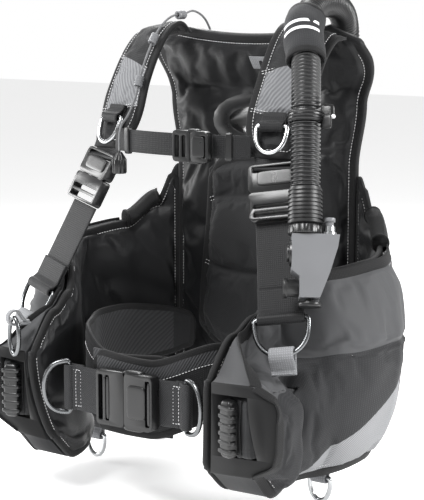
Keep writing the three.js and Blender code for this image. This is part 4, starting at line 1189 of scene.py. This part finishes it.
WAIST_SIZE = (0.385, 0.080)
waist_cloth = panelled("waist_cloth", (0.016, 0.0163, 0.0173), [
    (lambda u, v: v > 0.060, (0.038, 0.0385, 0.041), 0.0030),
])
inner_cloth = panelled("inner_waist_cloth", (0.014, 0.0143, 0.0152), [
    (lambda u, v: (u > 0.05) * (u < 0.17), (0.03, 0.0305, 0.032), 0.0046),
])
for side_name, side, inset, one in (("left", 1, -0.8, waist_cloth), ("right", -1, 6.7, inner_cloth)):
    place = on_side(waist(inset), side)
    piece = shell("waist_cloth_" + side_name, place, 0.0048, 110, 34, WAIST_SIZE, one, "vest", 0.008, 0.5, 0.004)
    rim = near_rim(piece, WAIST_SIZE, 0.006, 0.75)
    soften(piece, 0.0005, 0.05, rim, 41 + side)
    stand_for(piece, "cummerbund_" + side_name)
    bind("waist_binding_" + side_name, place, WAIST_SIZE, 0.010, 0.0085, 0.0042, 300, 0.003)
    x = np.linspace(0.02, 0.98, 60)
    seam("waist_seam_" + side_name, place, np.stack([x, x * 0 + 0.75], 1), -side * 0.0026, "vest")

# %% Belt, its rings and its buckle
def belt_at(x):
    """Depth of the belt: flat behind the buckle, then curving back by 0.003 (|x| - 36)^2."""
    return -291.3 + 0.003 * np.maximum(0, np.abs(x) - 36) ** 2


BELT = -92.0
for side_name, side in SIDES:
    x = side * np.linspace(20, 69, 30)
    path = stacked(x, belt_at(x), BELT)
    strap("belt_strip_" + side_name, path, (0, 0, 1), 0.050, WEB, worn_webbing, "vest", 40)
    bar = np.array([side * 79, belt_at(79.0) - 6.1 + 2.6, BELT])
    frame_of_tab = frame_at(bar * MM, (0, 0, side), (-side, 0, 0))
    piece = tab("belt_webbing_" + side_name, frame_of_tab, 0.050, 0.016, worn_webbing, "vest", 0.0155)
    stand_for(piece, "belt_" + side_name)
    a = math.radians(22 if side > 0 else 40)
    body = "belt_ring_" + side_name
    turned = frame_at(bar * MM, (0, 0, side), (-side * math.cos(a), math.sin(a), 0))
    stand_for(ring(body + "_wire", turned, 0.057, 0.028, 0.0027, dark_steel, body), body)
    patch = upright_at(side * 66, belt_at(66.0) - 1.7, BELT)
    for k, half in enumerate((0.007, 0.0035)):
        box = np.array([[-half, -0.020], [half, -0.020], [half, 0.020], [-half, 0.020], [-half, -0.020]])
        box = respaced(box, 120)
        line = placed(patch, np.column_stack([box[:, 0], np.zeros(120), box[:, 1]]))
        facing = np.broadcast_to([0.0, -1.0, 0.0], line.shape)
        stitches(f"belt_box_stitch_{side_name}_{k}", [(line, facing)], "vest")

middle = -291.3 - (2.6 + 13) / 2 - 0.5
pillow("belt_patch", upright_at(0, -286.4, BELT), (0.086, 0.005, 0.056), waist_cloth, "vest", 0.2)
hard("waist_socket", plastic, 0.0022, segments=3)
hard("waist_clip", plastic, 0.0018, segments=3)
buckle = upright_at(9, middle, BELT)
pillow("waist_buckle_plate", shifted(buckle, 17, -6.4, 0), (0.024, 0.004, 0.036), plastic, "vest", 0.3)
for k, z in enumerate((27.5, -27.5)):
    pillow(f"waist_release_{k}", shifted(buckle, 10, 0, z), (0.026, 0.011, 0.011), plastic, "vest", 0.5)
for k, x in enumerate((-26, -21.5, 33)):
    pillow(f"waist_buckle_bar_{k}", shifted(buckle, x, -5.8, 0), (0.0034, 0.003, 0.046), plastic, "vest", 0.4)

# %% [markdown]
# ## Chest strap
# Narrow webbing from each shoulder strap to a small side release buckle.

# %% Chest strap
def chest_at(x):
    """Depth of the chest strap: -205 + 0.0021 x^2."""
    return -205 + 0.0021 * x * x


for side_name, side in SIDES:
    x = np.linspace(50 if side > 0 else 12, side * 91, 40)
    path = stacked(x, chest_at(x), 172.0)
    piece = strap("chest_webbing_" + side_name, path, (0, 0, 1), 0.025, 0.0022, webbing, "vest", 60)
    stand_for(piece, "chest_strap_" + side_name)
    keeper = upright_at(side * 68, chest_at(68.0), 172, (1, 0.28 * side, 0))
    pillow("chest_keeper_" + side_name, keeper, (0.008, 0.0068, 0.030), plastic, "vest", 0.3)
hard("chest_socket", plastic, 0.0012)
hard("chest_clip", plastic, 0.0012)
chest_middle = -205 - (2.6 + 9) / 2 - 0.5
chest = upright_at(31, chest_middle, 172)
pillow("chest_buckle_plate", shifted(chest, 11, -4.3, 0), (0.016, 0.0025, 0.022), plastic, "vest", 0.3)
for k, z in enumerate((16.0, -16.0)):
    pillow(f"chest_release_{k}", shifted(chest, 3, 0, z), (0.015, 0.0078, 0.006), plastic, "vest", 0.5)

# %% [markdown]
# ## The corrugated hose
# One hose runs from the elbow over the shoulder, through its sleeve and clip, down to the inflator. Its ridges
# are the radius of the tube written as a wave along its length. It crosses the joint below the clip.

# %% Hose
HOSE = [(88, 12, 262), (88.5, 12, 288), (95, -8, 311), (100, -42, 322), (104, -82, 319), (115, -120, 301),
        (126, -139, 283), (138, -154, 264), (153, -177.5, 227), (159.6, -188.2, 193.5)]
HOSE_END = np.array([179, -219, 89.0])
upper = along(HOSE, np.linspace(0, 1, 800)) * MM
lower = np.linspace(upper[-1], HOSE_END * MM, 200)[1:]
RIDGE = 0.0044
hose_line = np.vstack([upper, lower])
count = int(lengths(hose_line)[-1] / RIDGE) * 8
hose_line = respaced(hose_line, count)
for _ in range(60):
    hose_line[1:-1] = (hose_line[:-2] + 2 * hose_line[1:-1] + hose_line[2:]) / 4
wave = 0.5 + 0.5 * np.sin(2 * np.pi * lengths(hose_line) / RIDGE)
hose_paint = Paint("hose_rubber", (0.014, 0.0141, 0.0147), 0.3, Specular_IOR_Level=0.6)
hose_paint.vary(0.15, 40).bump(hose_paint.noise(900, 2), 0.0001)
hose = tube("corrugated_hose", hose_line, 0.0133 + 0.0024 * wave ** 0.7, hose_paint.material, None, sides=32)
down = unit(HOSE_END * MM - upper[-1])
upper[-1] + down * 0.035
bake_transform(hose)
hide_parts("hose_upper", "hose_lower")
print("hose", round(float(lengths(hose_line)[-1]), 3), "m,", len(hose.data.polygons), "faces")
hard("hose_elbow", plastic, 0.0010)

# %% Sleeve on the shoulder
curve = along(HOSE, np.linspace(0, 1, 800)) * MM
arc = lengths(curve)
cover_middle = float(np.interp(0.6, np.linspace(0, 1, 800), arc))
OUT = np.array([0.1, -0.55, 0.83])
SLEEVE_SIZE = (0.080, 0.068)


def sleeve(u, v):
    """The sleeve's middle: v along the hose, u round it from one edge over the top to the other."""
    u, v = np.broadcast_arrays(np.asarray(u, float), np.asarray(v, float))
    s = cover_middle - 0.024 + v * SLEEVE_SIZE[1]
    p = np.stack([np.interp(s, arc, curve[:, k]) for k in range(3)], -1)
    ahead = np.stack([np.interp(s + 0.002, arc, curve[:, k]) for k in range(3)], -1)
    t = unit(ahead - p)
    up = unit(OUT - t * (t @ OUT)[..., None])
    side = np.cross(up, t)
    a = np.radians(-28 + 236 * u)
    r = 0.0195
    return p + side * (r * np.cos(a))[..., None] + up * (r * np.sin(a))[..., None]


piece = shell("hose_sleeve", sleeve, 0.0042, 60, 44, SLEEVE_SIZE, cordura, "vest", 0.005, 0.5, 0.003)
rim = near_rim(piece, SLEEVE_SIZE, 0.006)
soften(piece, 0.0005, 0.03, rim, 51)
stand_for(piece, "hose_cover")
bind("hose_sleeve_binding", sleeve, SLEEVE_SIZE, 0.006, 0.0075, 0.0042, 220, 0.003)
stripe_path = lambda v: np.stack([np.linspace(0.25, 0.75, 30), np.full(30, v)], 1)
for k, v in enumerate((0.42, 0.58)):
    tape(f"hose_sleeve_stripe_{k}", sleeve, stripe_path(v), 0.0042, 0.0006, "vest", 0.0024, finish=white_print)

# %% Clip, inflator, valves and knobs
def turned(frame_of_piece, across, up):
    """The same place with its Z along another of its own directions."""
    axes, origin = frame_of_piece
    return frame_at(origin, axes @ np.array(across, float), axes @ np.array(up, float))


hard("hose_clip", plastic, 0.0010)
t = 0.955
p = along(HOSE, np.array([t]))[0] * MM
way = unit(along(HOSE, np.array([t + 0.005]))[0] - along(HOSE, np.array([t - 0.005]))[0])
clip_frame = frame_at(p, (1, 0.35, 0), -way)
for k, turn in enumerate((-1, 1)):
    wing = turned(shifted(clip_frame, 22.5, turn * 5.0, turn * 7), (1, turn * 0.35, 0), (0, 0, 1))
    pillow(f"hose_clip_wing_{k}", wing, (0.013, 0.0032, 0.015), plastic, "vest", 0.5)
pillow("hose_clip_bead", shifted(clip_frame, 29, 0, 0), (0.0045, 0.0045, 0.0045), white_print, "vest", 0.9, 12)
for k, z in enumerate((-3.5, 0, 3.5)):
    band = [(0.0186, z * MM - 0.0011), (0.0195, z * MM), (0.0186, z * MM + 0.0011), (0.0178, z * MM)]
    lathe(f"hose_clip_rib_{k}", clip_frame, band + band[:1], plastic, "vest", 48)

axes_of_inflator = [[0.82251, 0.56855, -0.01488], [-0.54105, 0.77413, -0.32861], [-0.17531, 0.27833, 0.94435]]
inflator = (np.array(axes_of_inflator).T, HOSE_END * MM)
hard("inflator_body", grey_plastic, 0.0035, segments=4)
hard("inflate_button", plastic, 0.0012)
hard("deflate_button", plastic, 0.0012)
hard("mouthpiece", rubber, 0.0012)

nipple = [(0.0001, 0.0185), (0.0030, 0.0185), (0.0048, 0.0172), (0.0048, 0.0150), (0.0034, 0.0135),
          (0.0034, 0.0100), (0.0058, 0.0092), (0.0058, 0.0040), (0.0072, 0.0030), (0.0072, -0.0006),
          (0.0001, -0.0006)]
lathe("nipple_fitting", shifted(inflator, 25, 0, 0), nipple, steel, "inflator")
collar = [(0.0170, 0.0005), (0.0178, 0.0015), (0.0178, 0.0085), (0.0168, 0.0100), (0.0146, 0.0100),
          (0.0146, 0.0005)]
lathe("hose_collar", inflator, collar + collar[:1], plastic, "inflator", 64, 24, 0.05)
slots = np.arange(0.012, 0.046, 0.0042)
boot = [(0.0148, 0.0105)]
for z in slots:
    boot += [(0.0178, z), (0.0182 - z * 0.02, z + 0.0024), (0.0164, z + 0.0028), (0.0164, z + 0.0040)]
boot += [(0.0148, 0.049), (0.0148, 0.0105)]
lathe("bend_protector", inflator, boot, rubber, "inflator", 64)
side_boss = turned(shifted(inflator, -14, 0, -19), (0, 1, 0), (-1, 0, 0))
boss = [(0.0102, -0.002), (0.0132, -0.002), (0.0140, 0.0), (0.0132, 0.0020), (0.0102, 0.0026)]
lathe("inflate_housing", side_boss, boss + boss[:1], plastic, "inflator", 48)

for node in ("shoulder_dump_valve", "rear_dump_valve"):
    hard(node, plastic, 0.0010)
knob = [(0.0001, 0), (0.0028, 0), (0.0034, -0.0006), (0.0080, -0.0078), (0.0084, -0.0088), (0.0084, -0.0225),
        (0.0074, -0.0240), (0.0001, -0.0240)]
for name, route in (("shoulder", shoulder_route), ("rear", rear_route)):
    here = frame_at(route[-1] - [0, 0, 0.0005], (1, 0, 0), (0, 0, 1))
    body = name + "_dump_knob"
    stand_for(lathe(body + "_grip", here, knob, plastic, body, 60, 10, 0.14), body)

# %% [markdown]
# ## Pouches, clips and trim
# The pouches fill their pockets and end in a ribbed grip. The rest is small: loops for the hem rings, the snap
# link, cord guides, the blank size tag and the rolls of mesh at the back edges.

# %% Weight pouches
pouch_cloth = panelled("pouch_cloth", (0.03, 0.0305, 0.032), [])
for side_name, side in SIDES:
    body = "weight_pouch_" + side_name
    frame_of_pouch = pouch_frame(side)
    middle = shifted(frame_of_pouch, 0, 47.5, 0)
    stand_for(pillow(body + "_cloth", middle, (0.034, 0.095, 0.066), pouch_cloth, body, 0.2), body)
    grip = shifted(frame_of_pouch, 0, -8.5, 0)
    pillow(body + "_handle", grip, (0.017, 0.014, 0.060), plastic, body, 0.4)
    for k in range(6):
        rib = shifted(grip, 0, -2.6, (k - 2.5) * 9)
        pillow(f"{body}_rib_{k}", rib, (0.0215, 0.0105, 0.0056), plastic, body, 0.5, 16)
    for k, x in enumerate((-7.5, 7.5)):
        path = placed(frame_of_pouch, np.array([[x, -0.8, -30], [x, -3.2, 0], [x, -0.8, 30]]) * MM)
        strap(f"{body}_strap_{k}", path, frame_of_pouch[0][:, 0], 0.006, 0.0012, webbing, body, 30)

# %% Hem rings, snap link and trim
for side_name, side in SIDES:
    here = upright_at(side * 157, -148, -189)
    body = "hem_ring_" + side_name
    stand_for(ring(body + "_wire", here, 0.026, 0.026, 0.0026, steel, body), body)
    tab("hem_tab_" + side_name, here, 0.018, 0.034, grey_webbing, "vest", 0.030)

link_across, into = np.array([0.9536, -0.3011, 0]), np.array([0.3011, 0.9536, 0])
link = upright_at(-138, -312.4, -39, link_across)
a = 2 * np.pi * np.arange(80) / 80
oval = placed(link, np.column_stack([0.010 * np.cos(a), 0 * a, 0.021 * np.sin(a)]))
normal = np.broadcast_to(link[0][:, 1], oval.shape)
step = tangents(oval, True)
side = unit(np.cross(step, normal))
piece = sweep("snap_link", oval, side, normal, circle(0.0024, 12), dark_steel, "accessory_clip", True)
stand_for(piece, "accessory_clip")
hook = frame_at(np.array([-138, -312.4, -18]) * MM, link_across, into)
stand_for(tab("snap_link_webbing", hook, 0.007, 0.020, grey_webbing, "vest", 0.018, 0.0066), "accessory_tab")

for k, t in enumerate((0.30, 0.52, 0.66)):
    at = along(shoulder_route, np.array([t]))[0]
    way = unit(along(shoulder_route, np.array([t + 0.01]))[0] - along(shoulder_route, np.array([t - 0.01]))[0])
    guide = frame_at(at, (1, 0, 0), way)
    wall = [(0.0026, -0.006), (0.0046, -0.006), (0.0052, -0.0045), (0.0044, -0.003), (0.0052, -0.0015),
            (0.0044, 0), (0.0052, 0.0015), (0.0044, 0.003), (0.0052, 0.0045), (0.0046, 0.006), (0.0026, 0.006)]
    lathe(f"cord_guide_{k}", guide, wall + wall[:1], grey_plastic, "vest", 24)

tag = np.array([[0.50, 0.945], [0.61, 0.945]])
tape("size_tag", back, tag, 0.018, 0.0009, "vest", 0.0122, finish=grey_webbing)

# %% Mesh rolls
# the mesh has ribs all over, so its one panel's mask is 1 everywhere
mesh_cloth = panelled("mesh_cloth", (0.018, 0.0183, 0.0195), [
    (lambda u, v: u > -1.0, (0.03, 0.0305, 0.032), 0.0030),
], 0.0030, 0.0009)
for side_name, side in SIDES:
    edge = mirrored(side, lobe(np.linspace(0.13, 0.29, 60), np.full(60, 0.985))) + [0, 0, 0.006]
    tube("mesh_roll_" + side_name, edge, 0.0095, mesh_cloth, "vest", (0, 0, 1), 24)
    for k, at in enumerate((2, 57)):
        ends = edge[at - 2:at + 3]
        tube(f"mesh_roll_tape_{side_name}_{k}", respaced(ends, 12), 0.0106, binding, "vest", (0, 0, 1), 24)
